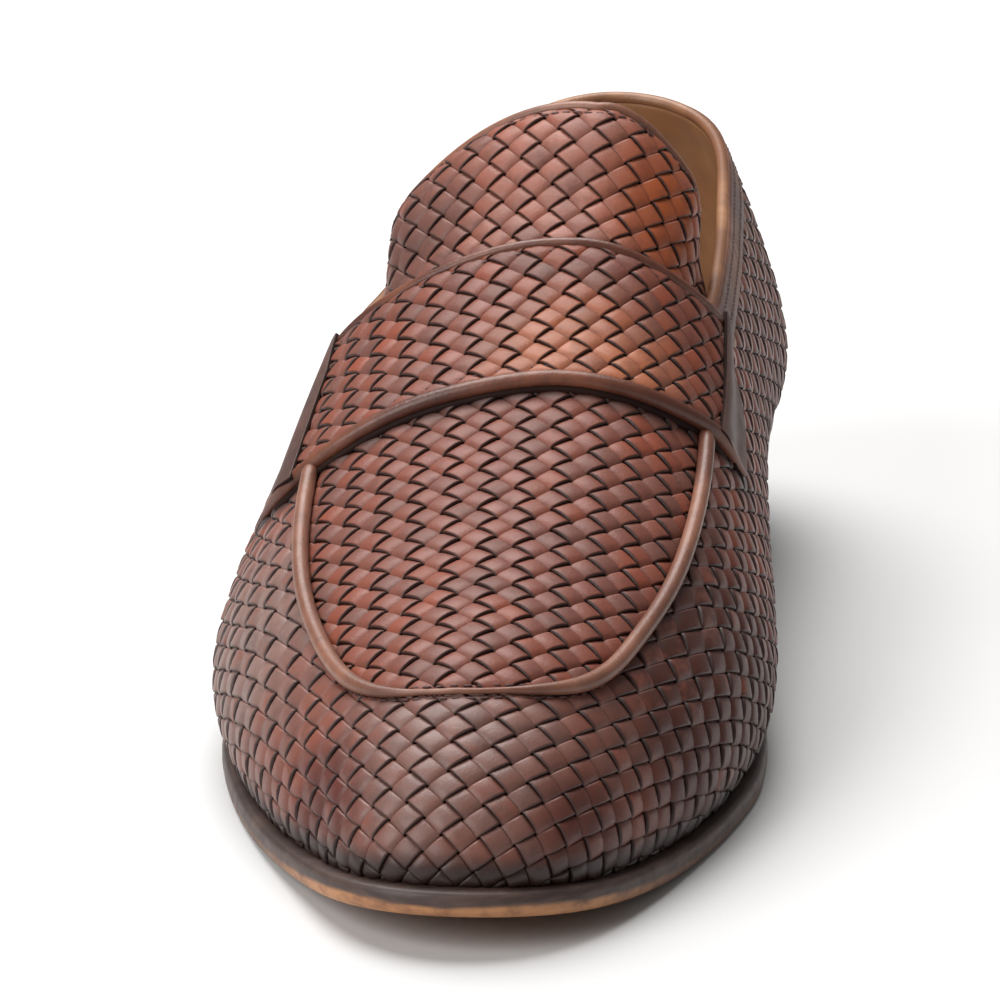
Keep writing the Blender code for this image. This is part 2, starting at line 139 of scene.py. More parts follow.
outlineX = roundTheLast(-lateralSide, medialSide, lastShape["tipX"], lastShape["heelX"])
bulgeAt = onBothSides(lateralBulge, medialBulge)
fullnessAt = onBothSides(fullness, fullness)
ridgeFromToe, ridgeSideways, ridgeHeight = np.array(ridgeTable).T
ridgeX = smoothCurve(ridgeFromToe, ridgeSideways)
ridgeZ = smoothCurve(ridgeFromToe, ridgeHeight)
ridgeShare = (lastShape["length"] - lastShape["ridgeFront"] - lastShape["ridgeRear"]) / lastShape["length"]


def ridgeStation(angle):
    return lastShape["ridgeFront"] + ridgeShare * station(angle)


def meridianOf(along):
    return (np.asarray(along, float) - lastShape["ridgeFront"]) / ridgeShare


def soleBottom(fromToe):
    toe = np.clip((lastShape["flatFront"] - fromToe) / lastShape["flatFront"], 0, None)
    shank = smoothStep((fromToe - lastShape["flatRear"]) / (lastShape["heelBreast"] - lastShape["flatRear"]))
    return lastShape["toeSpring"] * toe**2 + lastShape["heelHeight"] * shank


def featherHeight(angle):
    return soleBottom(station(angle)) + lastShape["outsole"] + lastShape["gap"]


def lastPoint(angle, rise):  # angle round the foot from the toe, rise from the feather line to the ridge
    angle, rise = np.broadcast_arrays(np.asarray(angle, float), np.asarray(rise, float))
    baseY = station(angle)
    topY = ridgeStation(angle)
    baseX = outlineX(angle)
    topX = ridgeX(topY)
    power = 2 / fullnessAt(angle)
    turn = np.clip(rise, 0, 1) * math.pi / 2
    inward = 1 - np.clip(np.cos(turn), 0, 1) ** power
    height = np.clip(np.sin(turn), 0, 1) ** power
    x = baseX + (topX - baseX) * inward
    y = baseY + (topY - baseY) * inward
    low = featherHeight(angle)
    z = low + (ridgeZ(y) - low) * height
    lift = (z - low) / lastShape["bulgePeak"]
    out = bulgeAt(angle) * lift * np.exp(1 - lift) * (1 - inward)
    run = np.hypot(baseX - topX, baseY - topY)
    x = x + out * (baseX - topX) / run
    y = y + out * (baseY - topY) / run
    return np.stack([x, y - lastShape["length"] / 2, z], -1)


def unit(vectors):
    return vectors / np.maximum(np.linalg.norm(vectors, axis=-1, keepdims=True), 1e-12)


def lastNormal(angle, rise, step=0.004):
    around = lastPoint(angle + step, rise) - lastPoint(angle - step, rise)
    inside = np.clip(rise, step, 1 - step)
    up = lastPoint(angle, inside + step) - lastPoint(angle, inside - step)
    return unit(np.cross(around, up))


def overLast(angle, rise, height):  # a point at a height over the last
    angle, rise, height = np.broadcast_arrays(angle, rise, height)
    return lastPoint(angle, rise) + lastNormal(angle, rise) * height[..., None]


def riseFurther(angle, rise, distance, step=0.004):  # rise of the point that lies a distance up the section
    speed = np.linalg.norm(lastPoint(angle, rise) - lastPoint(angle, rise - step), axis=-1) / step
    return rise + distance / np.maximum(speed, 1.0)


# from distance along the ridge and round the section, medial positive
def angleAndRise(along, girth, steps=81):
    along, girth = np.broadcast_arrays(np.asarray(along, float), np.asarray(girth, float))
    angle = angleOf(meridianOf(along))
    angle = np.where(girth < 0, 2 * math.pi - angle, angle)
    rises = np.linspace(1, 0, steps)
    sections = lastPoint(angle[..., None], rises)
    lengths = np.cumsum(np.linalg.norm(np.diff(sections, axis=-2), axis=-1), -1)
    lengths = np.concatenate([np.zeros(angle.shape + (1,)), lengths], -1)
    rise = np.empty(angle.shape)
    for place in np.ndindex(angle.shape):
        rise[place] = np.interp(abs(girth[place]), lengths[place], rises)
    return angle, rise


def surfaceAt(along, girth, height, step=0.2):
    along, girth, height = np.broadcast_arrays(along, girth, height)

    def flat(a, g):
        return lastPoint(*angleAndRise(a, g))

    lengthwise = flat(along + step, girth) - flat(along - step, girth)
    across = flat(along, girth + step) - flat(along, girth - step)
    return flat(along, girth) + unit(np.cross(across, lengthwise)) * height[..., None]


def collarRise(angle, bisections=40):
    angle = np.mod(angle, 2 * math.pi)
    throat = float(meridianOf(lastShape["throat"]))
    fromToe, lateral, medial = np.array(collarTable).T
    knots = np.concatenate([[throat], fromToe])
    start = ridgeZ(lastShape["throat"])
    medialHeight = smoothCurve(knots, np.concatenate([[start], medial]))(station(angle))
    lateralHeight = smoothCurve(knots, np.concatenate([[start], lateral]))(station(angle))
    wanted = np.where(angle <= math.pi, medialHeight, lateralHeight)
    low = np.zeros_like(angle)
    high = np.ones_like(angle)
    for _ in range(bisections):
        middle = (low + high) / 2
        above = lastPoint(angle, middle)[..., 2] > wanted
        high = np.where(above, middle, high)
        low = np.where(above, low, middle)
    return np.where(station(angle) <= throat, 1.0, low)


def outlineRing(angle, margin, z, step=0.002):  # the plan of the feather line, moved outward
    def plan(a):
        return np.stack([outlineX(a), station(a) - lastShape["length"] / 2], -1)

    travel = plan(angle + step) - plan(angle - step)
    outward = unit(np.stack([travel[:, 1], -travel[:, 0]], -1))
    ring = plan(angle) + outward * np.broadcast_to(margin, angle.shape)[:, None]
    return np.column_stack([ring, np.broadcast_to(z, angle.shape)])


def soleEdge(angle):
    fromToe, lateral, medial = np.array(soleEdgeTable).T
    medialEdge = np.interp(station(angle), fromToe, medial)
    lateralEdge = np.interp(station(angle), fromToe, lateral)
    return np.where(np.mod(angle, 2 * math.pi) <= math.pi, medialEdge, lateralEdge)


def apronRise(degrees):  # lateral side negative
    knots, lateral, medial = np.array(apronTable).T
    curve = smoothCurve(np.concatenate([-knots[:0:-1], knots]), np.concatenate([lateral[:0:-1], medial]))
    return curve(degrees)


# nodes for materials and for Geometry Nodes, with maths on their sockets
class Wire:
    def __init__(self, socket):
        self.socket = socket

    def out(self, name):
        return Wire(self.socket.node.outputs[name])

    def combine(self, operation, *values):
        tree = self.socket.id_data
        return makeNode(tree, "ShaderNodeMath", {"operation": operation}, dict(enumerate(values)))

    def calc(self, operation, *others):
        return self.combine(operation, self, *others)

    def __add__(self, other):
        return self.calc("ADD", other)

    __radd__ = __add__

    def __sub__(self, other):
        return self.calc("SUBTRACT", other)

    def __rsub__(self, other):
        return self.combine("SUBTRACT", other, self)

    def __mul__(self, other):
        return self.calc("MULTIPLY", other)

    __rmul__ = __mul__

    def __truediv__(self, other):
        return self.calc("DIVIDE", other)

    def __rtruediv__(self, other):
        return self.combine("DIVIDE", other, self)

    def __mod__(self, other):
        return self.calc("FLOORED_MODULO", other)

    def __rmod__(self, other):
        return self.combine("FLOORED_MODULO", other, self)

    def __abs__(self):
        return self.calc("ABSOLUTE")


def makeNode(tree, kind, settings=None, sockets=None):
    node = tree.nodes.new(kind)
    for name, value in (settings or {}).items():
        setattr(node, name, value)
    for name, value in (sockets or {}).items():
        if isinstance(value, Wire):
            tree.links.new(value.socket, node.inputs[name])
        else:
            node.inputs[name].default_value = value
    return Wire(next((s for s in node.outputs if s.enabled), None))


# geometry trees
def startTree(name, inputs):
    tree = bpy.data.node_groups.new(name, "GeometryNodeTree")
    tree.interface.new_socket("Geometry", in_out="OUTPUT", socket_type="NodeSocketGeometry")
    tree.interface.new_socket("Geometry", in_out="INPUT", socket_type="NodeSocketGeometry")
    for label, kind in inputs:
        tree.interface.new_socket(label, in_out="INPUT", socket_type="NodeSocket" + kind)
    return tree, makeNode(tree, "NodeGroupInput")


def endTree(tree, geometry, material):
    shaded = makeNode(tree, "GeometryNodeSetShadeSmooth", {}, {"Geometry": geometry})
    finished = makeNode(tree, "GeometryNodeSetMaterial", {}, {"Geometry": shaded, "Material": material})
    tree.links.new(finished.socket, tree.nodes.new("NodeGroupOutput").inputs[0])


def runTree(piece, tree, values):
    modifier = piece.modifiers.new(tree.name, "NODES")
    modifier.node_group = tree
    for item in tree.interface.items_tree:
        if item.in_out == "INPUT" and item.name in values:
            modifier[item.identifier] = values[item.name]
    piece.update_tag()
    graph = bpy.context.evaluated_depsgraph_get()
    mesh = bpy.data.meshes.new_from_object(piece.evaluated_get(graph), preserve_all_data_layers=True,
                                           depsgraph=graph)
    name = piece.name
    old = piece.data
    bpy.data.objects.remove(piece)
    bpy.data.meshes.remove(old)
    mesh.name = name
    return linkObject(name, mesh)


def linkObject(name, data):
    piece = bpy.data.objects.new(name, data)
    bpy.context.scene.collection.objects.link(piece)
    return piece


def named(tree, name, kind):
    return makeNode(tree, "GeometryNodeInputNamedAttribute", {"data_type": kind}, {"Name": name})


def store(tree, geometry, domain, name, value):
    return makeNode(tree, "GeometryNodeStoreNamedAttribute", {"data_type": "FLOAT", "domain": domain},
                    {"Geometry": geometry, "Name": name, "Value": value})


# a bias plain weave of tiles, laid on a flattened sheet and carried back to its surface
def buildWeaveTree():
    tree, given = startTree("plainWeave", (
        ("Tile", "Object"), ("Leather", "Material"), ("Pitch", "Float"), ("Columns", "Int"), ("Rows", "Int"),
        ("Turn", "Float"), ("Shift", "Vector"), ("Wobble", "Float"), ("Uneven", "Float"), ("Sink", "Float"),
        ("Tilt", "Float"), ("Seed", "Int")))
    pitch = given.out("Pitch")
    seed = given.out("Seed")

    def chance(low, high, salt):
        return makeNode(tree, "FunctionNodeRandomValue", {"data_type": "FLOAT"},
                        {2: low, 3: high, "Seed": seed + salt})

    lattice = makeNode(tree, "GeometryNodeMeshGrid", {}, {
        "Size X": pitch * (given.out("Columns") - 1), "Size Y": pitch * (given.out("Rows") - 1),
        "Vertices X": given.out("Columns"), "Vertices Y": given.out("Rows")})
    place = makeNode(tree, "ShaderNodeSeparateXYZ", {}, {0: makeNode(tree, "GeometryNodeInputPosition")})
    cells = [(place.out(axis) / pitch + 0.5).calc("FLOOR") for axis in "XY"]
    crossing = (cells[0] + cells[1]) % 2.0
    wobble = chance(-1.0, 1.0, 1) * given.out("Wobble")
    angle = makeNode(tree, "ShaderNodeCombineXYZ", {}, {"Z": crossing * (math.pi / 2) + wobble})
    tile = makeNode(tree, "GeometryNodeObjectInfo", {}, {"Object": given.out("Tile")}).out("Geometry")
    tiles = makeNode(tree, "GeometryNodeInstanceOnPoints", {}, {
        "Points": lattice, "Instance": tile, "Rotation": makeNode(tree, "FunctionNodeEulerToRotation", {},
                                                                    {"Euler": angle})})
    for name, salt in (("tone", 2), ("rust", 3), ("lift", 4)):
        tiles = store(tree, tiles, "INSTANCE", name, chance(0.0, 1.0, salt))
    tiles = store(tree, tiles, "INSTANCE", "family", crossing)
    woven = makeNode(tree, "GeometryNodeRealizeInstances", {}, {"Geometry": tiles})
    flat = makeNode(tree, "GeometryNodeInputPosition")
    turned = makeNode(tree, "ShaderNodeVectorRotate", {"rotation_type": "Z_AXIS"},
                      {"Vector": flat, "Angle": given.out("Turn")})
    spot = makeNode(tree, "ShaderNodeVectorMath", {"operation": "ADD"}, {0: turned, 1: given.out("Shift")})

    def sample(value, kind):
        return makeNode(tree, "GeometryNodeSampleUVSurface", {"data_type": kind}, {
            "Mesh": given.out("Geometry"), "Value": value, "UV Map": named(tree, "flat", "FLOAT_VECTOR"),
            "Sample UV": spot})

    surface = sample(makeNode(tree, "GeometryNodeInputPosition"), "FLOAT_VECTOR")
    outward = sample(makeNode(tree, "GeometryNodeInputNormal"), "FLOAT_VECTOR")
    press = sample(named(tree, "press", "FLOAT"), "FLOAT")
    missing = makeNode(tree, "FunctionNodeBooleanMath", {"operation": "NOT"}, {0: surface.out("Is Valid")})
    kept = makeNode(tree, "GeometryNodeDeleteGeometry", {"domain": "POINT"},
                    {"Geometry": woven, "Selection": missing})
    facing = named(tree, "family", "FLOAT") * 2.0 - 1.0  # which long edge of a tile looks forward
    kept = store(tree, kept, "POINT", "facing", facing)
    kept = store(tree, kept, "POINT", "shade", sample(named(tree, "shade", "FLOAT"), "FLOAT"))
    tile = makeNode(tree, "ShaderNodeSeparateXYZ", {}, {0: named(tree, "tilePlace", "FLOAT_VECTOR")})
    height = makeNode(tree, "ShaderNodeSeparateXYZ", {}, {0: flat}).out("Z")
    height = height + tile.out("Y") * facing * given.out("Tilt")
    uneven = (named(tree, "lift", "FLOAT") - 0.5) * given.out("Uneven")
    relief = (height + uneven) * press - (1 - press) * given.out("Sink")
    push = makeNode(tree, "ShaderNodeVectorMath", {"operation": "SCALE"}, {0: outward, "Scale": relief})
    moved = makeNode(tree, "ShaderNodeVectorMath", {"operation": "ADD"}, {0: surface, 1: push})
    laid = makeNode(tree, "GeometryNodeSetPosition", {}, {"Geometry": kept, "Position": moved})
    endTree(tree, laid, given.out("Leather"))
    return tree


def buildCordTree():  # a round cord along a path, with the radius that each point carries
    tree, given = startTree("roundCord", (("Leather", "Material"), ("Sides", "Int")))
    curve = makeNode(tree, "GeometryNodeMeshToCurve", {}, {"Mesh": given.out("Geometry")})
    circle = makeNode(tree, "GeometryNodeCurvePrimitiveCircle", {},
                      {"Resolution": given.out("Sides"), "Radius": 1.0})
    swept = makeNode(tree, "GeometryNodeCurveToMesh", {}, {
        "Curve": curve, "Profile Curve": circle, "Scale": named(tree, "radius", "FLOAT"), "Fill Caps": True})
    realized = makeNode(tree, "GeometryNodeRealizeInstances", {}, {"Geometry": swept})
    endTree(tree, realized, given.out("Leather"))
    return tree


def buildStitchTree():  # stitches at an even pitch along a path, flat on the surface that its points face
    tree, given = startTree("stitchRow", (
        ("Stitch", "Object"), ("Thread", "Material"), ("Pitch", "Float"), ("Wander", "Float"),
        ("Seed", "Int")))
    curve = makeNode(tree, "GeometryNodeMeshToCurve", {}, {"Mesh": given.out("Geometry")})
    spaced = makeNode(tree, "GeometryNodeResampleCurve", {"mode": "LENGTH"},
                      {"Curve": curve, "Length": given.out("Pitch")})
    upright = makeNode(tree, "FunctionNodeAlignRotationToVector", {"axis": "Z"},
                       {"Vector": named(tree, "facing", "FLOAT_VECTOR")})
    along = makeNode(tree, "FunctionNodeAlignRotationToVector", {"axis": "X", "pivot_axis": "Z"},
                     {"Rotation": upright, "Vector": makeNode(tree, "GeometryNodeInputTangent")})
    wander = makeNode(tree, "FunctionNodeRandomValue", {"data_type": "FLOAT"},
                      {2: given.out("Wander") * -1.0, 3: given.out("Wander"), "Seed": given.out("Seed")})
    slant = makeNode(tree, "ShaderNodeCombineXYZ", {}, {"Z": wander})
    turned = makeNode(tree, "FunctionNodeRotateRotation", {"rotation_space": "LOCAL"},
                      {"Rotation": along, "Rotate By": makeNode(tree, "FunctionNodeEulerToRotation", {},
                                                                {"Euler": slant})})
    stitch = makeNode(tree, "GeometryNodeObjectInfo", {}, {"Object": given.out("Stitch")}).out("Geometry")
    row = makeNode(tree, "GeometryNodeInstanceOnPoints", {},
                   {"Points": spaced, "Instance": stitch, "Rotation": turned})
    realized = makeNode(tree, "GeometryNodeRealizeInstances", {}, {"Geometry": row})
    endTree(tree, realized, given.out("Thread"))
    return tree


# meshes
def toScene(points):
    return (np.asarray(points, float) + lastShape["place"]) * mm


def meshPiece(name, points, faces, materials=(), faceSlots=None, weld=0.00002):
    mesh = bpy.data.meshes.new(name)
    mesh.from_pydata(toScene(points).tolist(), [], faces)
    for material in materials:
        mesh.materials.append(material)
    if faceSlots is not None:
        mesh.polygons.foreach_set("material_index", np.asarray(faceSlots, np.int32))
    work = bmesh.new()
    work.from_mesh(mesh)
    bmesh.ops.remove_doubles(work, verts=work.verts, dist=weld)
    work.to_mesh(mesh)
    work.free()
    mesh.shade_smooth()
    return linkObject(name, mesh)


def faceOutwards(piece):
    work = bmesh.new()
    work.from_mesh(piece.data)
    bmesh.ops.recalc_face_normals(work, faces=work.faces)
    work.to_mesh(piece.data)
    work.free()


def gridFaces(rows, columns, closed=False, start=0, flip=False):
    faces = []
    for i in range(rows - 1):
        for j in range(columns if closed else columns - 1):
            k = (j + 1) % columns
            low = start + i * columns
            high = low + columns
            face = (low + j, low + k, high + k, high + j)
            faces.append(face[::-1] if flip else face)
    return faces


def slab(name, outer, inner, materials, closed=False):  # a wall between two sheets: outside, inside and rim
    rows, columns = outer.shape[:2]
    count = rows * columns
    top = gridFaces(rows, columns, closed)
    under = gridFaces(rows, columns, closed, count, True)
    first = list(range(columns))
    last = list(range((rows - 1) * columns, rows * columns))
    if closed:
        loops = [first + first[:1], (last + last[:1])[::-1]]
    else:
        left = [i * columns for i in range(rows)]
        right = [i * columns + columns - 1 for i in range(rows)]
        loops = [first + right[1:] + last[::-1][1:] + left[::-1][1:]]
    rim = []
    for loop in loops:
        for a, b in zip(loop, loop[1:]):
            rim.append((b, a, count + a, count + b))
    slots = [0] * len(top) + [1] * len(under) + [2] * len(rim)
    points = np.concatenate([outer.reshape(-1, 3), inner.reshape(-1, 3)])
    return meshPiece(name, points, top + under + rim, materials, slots)


def pathObject(name, path, values, kind="FLOAT", label="radius"):
    mesh = bpy.data.meshes.new(name)
    edges = [(i, i + 1) for i in range(len(path) - 1)]
    mesh.from_pydata(toScene(path).tolist(), edges, [])
    holder = mesh.attributes.new(label, kind, "POINT")
    holder.data.foreach_set("value" if kind == "FLOAT" else "vector", np.asarray(values, np.float32).ravel())
    return linkObject(name, mesh)


def evenly(path, spacing, *others):  # the same path with points at an even spacing, and its other columns
    path = np.asarray(path, float)
    travel = np.concatenate([[0], np.cumsum(np.linalg.norm(np.diff(path, axis=0), axis=1))])
    count = max(int(travel[-1] / spacing), 4) + 1
    wanted = np.linspace(0, travel[-1], count)
    results = []
    for table in (path, *others):
        table = np.asarray(table, float)
        if table.ndim == 1:
            results.append(np.interp(wanted, travel, table))
        else:
            results.append(np.stack([np.interp(wanted, travel, column) for column in table.T], -1))
    return results


def roundedEnds(path, radius):  # the cord closes in a half ball at each end
    travel = np.concatenate([[0], np.cumsum(np.linalg.norm(np.diff(path, axis=0), axis=1))])
    near = np.minimum(travel, travel[-1] - travel)
    share = np.clip(near / np.maximum(radius, 0.01), 0, 1)
    return radius * np.sqrt(np.clip(1 - (1 - share) ** 2, 0.0025, 1))


def cord(name, path, radius, material, spacing=0.7, sides=14):
    path, radius = evenly(path, spacing, np.broadcast_to(radius, len(path)))
    radius = roundedEnds(path, radius)
    return runTree(pathObject(name, path, radius * mm), cordTree, {"Leather": material, "Sides": sides})


def capsule(name, length, width, thickness, along=6, around=6):
    s = np.linspace(-1, 1, along + 1)
    size = np.sqrt(np.clip(1 - np.abs(s) ** 3, 0.02, 1))
    turn = np.linspace(0, 2 * math.pi, around, endpoint=False)
    rings = [np.stack([np.full(around, a * length / 2), r * width / 2 * np.cos(turn),
                       r * thickness / 2 * np.sin(turn)], -1) for a, r in zip(s, size)]
    faces = gridFaces(along + 1, around, True)
    faces += [tuple(range(around))[::-1], tuple(range(along * around, (along + 1) * around))]
    mesh = bpy.data.meshes.new(name)
    mesh.from_pydata((np.concatenate(rings) * mm).tolist(), [], [face[::-1] for face in faces])
    return linkObject(name, mesh)


def stitches(name, path, facing, pitch, seed):
    path, facing = evenly(path, stitchShape["spacing"], facing)
    row = pathObject(name, path, facing, "FLOAT_VECTOR", "facing")
    return runTree(row, stitchTree, {"Stitch": stitchObject, "Thread": threadFinish, "Pitch": pitch * mm,
                                     "Wander": stitchShape["wander"], "Seed": seed})


def join(name, pieces):
    work = bmesh.new()
    materials = []
    for piece in pieces:
        for material in piece.data.materials:
            if material not in materials:
                materials.append(material)
        slots = [materials.index(material) for material in piece.data.materials]
        start = len(work.faces)
        work.from_mesh(piece.data)
        work.faces.ensure_lookup_table()
        for face in work.faces[start:]:
            face.material_index = slots[min(face.material_index, len(slots) - 1)]
    mesh = bpy.data.meshes.new(name)
    work.to_mesh(mesh)
    work.free()
    for material in materials:
        mesh.materials.append(material)
    for piece in pieces:
        bpy.data.objects.remove(piece)
    return linkObject(name, mesh)


def settle(piece, slot, *nodes):
    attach(piece, "root")
    if nodes:
        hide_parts(*nodes)
    print("piece:", piece.name, len(piece.data.polygons), "faces")
    return piece


# leather tiles of the weave
weaveLook = {
    "pitch": 4.75, "pull": (0.935, 1.064), "turn": 45.0, "wobble": 0.02, "uneven": 0.16, "tilt": 0.2,
    "tileLength": 1.5, "tileWidth": 0.92, "along": 8, "relief": 0.9, "dive": 2.0, "divePower": 3.5,
    "skirt": 0.85, "edge": 0.985, "edgeDrop": 0.16, "crown": 0.8, "crownDrop": 0.05,
    "pressReach": 2.6, "sink": 0.55, "shadeReach": 9.0, "unwrapSteps": 30,
}
stitchShape = {"length": 1.9, "width": 0.55, "thickness": 0.5, "wander": 0.12, "spacing": 0.8}


def weaveTile(look):
    half = look["pitch"] * look["tileLength"] / 2
    wide = look["pitch"] * look["tileWidth"] / 2
    side = ((look["crown"], look["crownDrop"]), (look["edge"], look["edgeDrop"]), (1.0, look["skirt"]))
    across = [(-t, drop) for t, drop in side[::-1]] + [(0.0, 0.0), *side]
    places = np.linspace(-1, 1, look["along"] + 1)
    points = []
    marks = []
    for s in places:
        for t, drop in across:
            crest = look["relief"] * (1 - look["dive"] * abs(s) ** look["divePower"])
            points.append((s * half * mm, t * wide * mm, (crest - drop) * mm))
            marks.append((s, t, min(drop / look["skirt"], 1.0)))
    faces = gridFaces(len(places), len(across), False, 0, True)
    mesh = bpy.data.meshes.new("tile")
    mesh.from_pydata(points, [], faces)
    holder = mesh.attributes.new("tilePlace", "FLOAT_VECTOR", "POINT")
    holder.data.foreach_set("vector", np.asarray(marks, np.float32).ravel())
    mesh.shade_smooth()
    return linkObject("tile", mesh)


def bendPattern(flat, look, count=600):  # the arms of the vamp's strip turn up the page, as a horseshoe
    places = np.linspace(flat[:, 0].min(), flat[:, 0].max(), count)
    angles = math.radians(look["turn"]) * np.clip(places / look["reach"], -1, 1)
    half = (angles[1:] + angles[:-1]) / 2
    steps = np.diff(places)
    across = np.concatenate([[0], np.cumsum(np.cos(half) * steps)])
    up = np.concatenate([[0], np.cumsum(np.sin(half) * steps)])
    across = across - np.interp(0, places, across)
    up = up - np.interp(0, places, up)
    angle = np.interp(flat[:, 0], places, angles)
    height = flat[:, 1] - look["middle"]
    return np.stack([np.interp(flat[:, 0], places, across) - height * np.sin(angle),
                     np.interp(flat[:, 0], places, up) + height * np.cos(angle) + look["middle"]], -1)


def flatten(piece, front, rear, bend):  # the sheet's flat pattern in metres, front to rear up the page
    for other in bpy.context.selected_objects:
        other.select_set(False)
    bpy.context.view_layer.objects.active = piece
    piece.select_set(True)
    bpy.ops.object.mode_set(mode="EDIT")
    bpy.ops.mesh.select_all(action="SELECT")
    bpy.ops.uv.unwrap(method="MINIMUM_STRETCH", iterations=weaveLook["unwrapSteps"])
    bpy.ops.object.mode_set(mode="OBJECT")
    mesh = piece.data
    layer = mesh.uv_layers.active
    layer.name = "flat"
    flat = np.zeros(len(mesh.loops) * 2)
    layer.data.foreach_get("uv", flat)
    flat = flat.reshape(-1, 2)
    corners = np.zeros(len(mesh.loops), int)
    mesh.loops.foreach_get("vertex_index", corners)
    drawn = np.zeros((len(mesh.vertices), 2))
    drawn[corners] = flat
    sides = np.array([edge.vertices[:] for edge in mesh.edges])
    solid = np.array([v.co[:] for v in mesh.vertices])
    real = np.linalg.norm(solid[sides[:, 0]] - solid[sides[:, 1]], axis=1)
    paper = np.linalg.norm(drawn[sides[:, 0]] - drawn[sides[:, 1]], axis=1)
    ends = [int(np.argmin(np.linalg.norm(solid - toScene(p), axis=1))) for p in (front, rear)]
    travel = drawn[ends[1]] - drawn[ends[0]]
    turn = math.pi / 2 - math.atan2(travel[1], travel[0])
    spin = np.array([[math.cos(turn), -math.sin(turn)], [math.sin(turn), math.cos(turn)]])
    flat = (flat - drawn[ends[0]]) @ spin.T * (real.sum() / paper.sum())
    flat = flat * weaveLook["pull"]
    if bend:
        flat = bendPattern(flat, bend)
    layer.data.foreach_set("uv", flat.ravel())
    stretch = paper / real / (paper.sum() / real.sum())
    print("flattened", piece.name, "stretch", np.round(np.percentile(stretch, [2, 50, 98]), 3),
          "size", np.round(flat.max(0) - flat.min(0), 3))
    return flat


def distanceTo(mesh, line, batch=512):
    solid = np.array([v.co[:] for v in mesh.vertices])
    nearest = np.full(len(solid), np.inf)
    if len(line):
        edge = toScene(line)
        for start in range(0, len(solid), batch):
            gap = np.linalg.norm(solid[start:start + batch, None] - edge[None], axis=-1)
            nearest[start:start + batch] = gap.min(1)
    return nearest


def mark(mesh, name, values):
    mesh.attributes.new(name, "FLOAT", "POINT").data.foreach_set("value", values.astype(np.float32))


# relief fades out along the border that a seam presses down, and shade is painted on the tiles near the
# shadow line
def weave(name, grid, border, shadow, ends, material, seed, reach=weaveLook["pressReach"], lean=0.0,
          bend=None):
    sheet = meshPiece(name, grid.reshape(-1, 3), gridFaces(*grid.shape[:2]))
    flat = flatten(sheet, *ends, bend)
    mark(sheet.data, "press", smoothStep(distanceTo(sheet.data, border) / (reach * mm)))
    mark(sheet.data, "shade", 1 - smoothStep(distanceTo(sheet.data, shadow) / (weaveLook["shadeReach"] * mm)))
    span = flat.max(0) - flat.min(0)
    middle = (flat.max(0) + flat.min(0)) / 2
    pitch = weaveLook["pitch"] * mm
    diagonal = pitch * math.sqrt(2)
    middle = np.round(middle / diagonal) * diagonal
    count = int(span.sum() / math.sqrt(2) / pitch / 2) * 2 + 5
    return runTree(sheet, weaveTree, {
        "Tile": tileObject, "Leather": material, "Pitch": pitch, "Columns": count, "Rows": count,
        "Turn": math.radians(weaveLook["turn"] + lean), "Shift": (*middle, 0.0),
        "Wobble": weaveLook["wobble"], "Uneven": weaveLook["uneven"] * mm, "Sink": weaveLook["sink"] * mm,
        "Tilt": weaveLook["tilt"] * mm, "Seed": seed})


weaveTree = buildWeaveTree()
cordTree = buildCordTree()
stitchTree = buildStitchTree()
tileObject = weaveTile(weaveLook)
stitchObject = capsule("stitch", stitchShape["length"], stitchShape["width"], stitchShape["thickness"])
print("trees built")


# finishes
def startFinish(name):
    material = bpy.data.materials.new(name)
    material.use_nodes = True
    tree = material.node_tree
    return material, tree, tree.nodes["Principled BSDF"], makeNode(tree, "ShaderNodeTexCoord").out("Object")


def noise(tree, place, scale, detail=3.0, roughness=0.55):
    return makeNode(tree, "ShaderNodeTexNoise", {},
                    {"Vector": place, "Scale": scale, "Detail": detail, "Roughness": roughness}).out("Fac")


def fade(tree, value, low, high):
    return makeNode(tree, "ShaderNodeMapRange", {"interpolation_type": "SMOOTHSTEP"},
                    {"Value": value, "From Min": low, "From Max": high})


def blend(tree, share, first, second):
    colours = {0: share, 6: first, 7: second}
    for slot in (6, 7):
        if not isinstance(colours[slot], Wire):
            colours[slot] = (*colours[slot], 1.0)
    return makeNode(tree, "ShaderNodeMix", {"data_type": "RGBA"}, colours)


def attribute(tree, name):
    return makeNode(tree, "ShaderNodeAttribute", {"attribute_name": name})


def near(tree, place, centre, radius):  # 1 at a spot, 0 at its radius
    distance = makeNode(tree, "ShaderNodeVectorMath", {"operation": "DISTANCE"}, {0: place, 1: centre})
    return fade(tree, distance.out("Value"), radius, radius * 0.25)


def applyFinish(tree, shader, look, colour, roughness, height):
    bump = makeNode(tree, "ShaderNodeBump", {},
                    {"Height": height, "Distance": look["grainDepth"] * mm, "Strength": 1.0})
    for name, value in (("Base Color", colour), ("Roughness", roughness), ("Normal", bump)):
        tree.links.new(value.socket, shader.inputs[name])
    shader.inputs["Specular IOR Level"].default_value = look["specular"]
    shader.inputs["Coat Weight"].default_value = look["coat"]
    shader.inputs["Coat Roughness"].default_value = look["coatRoughness"]


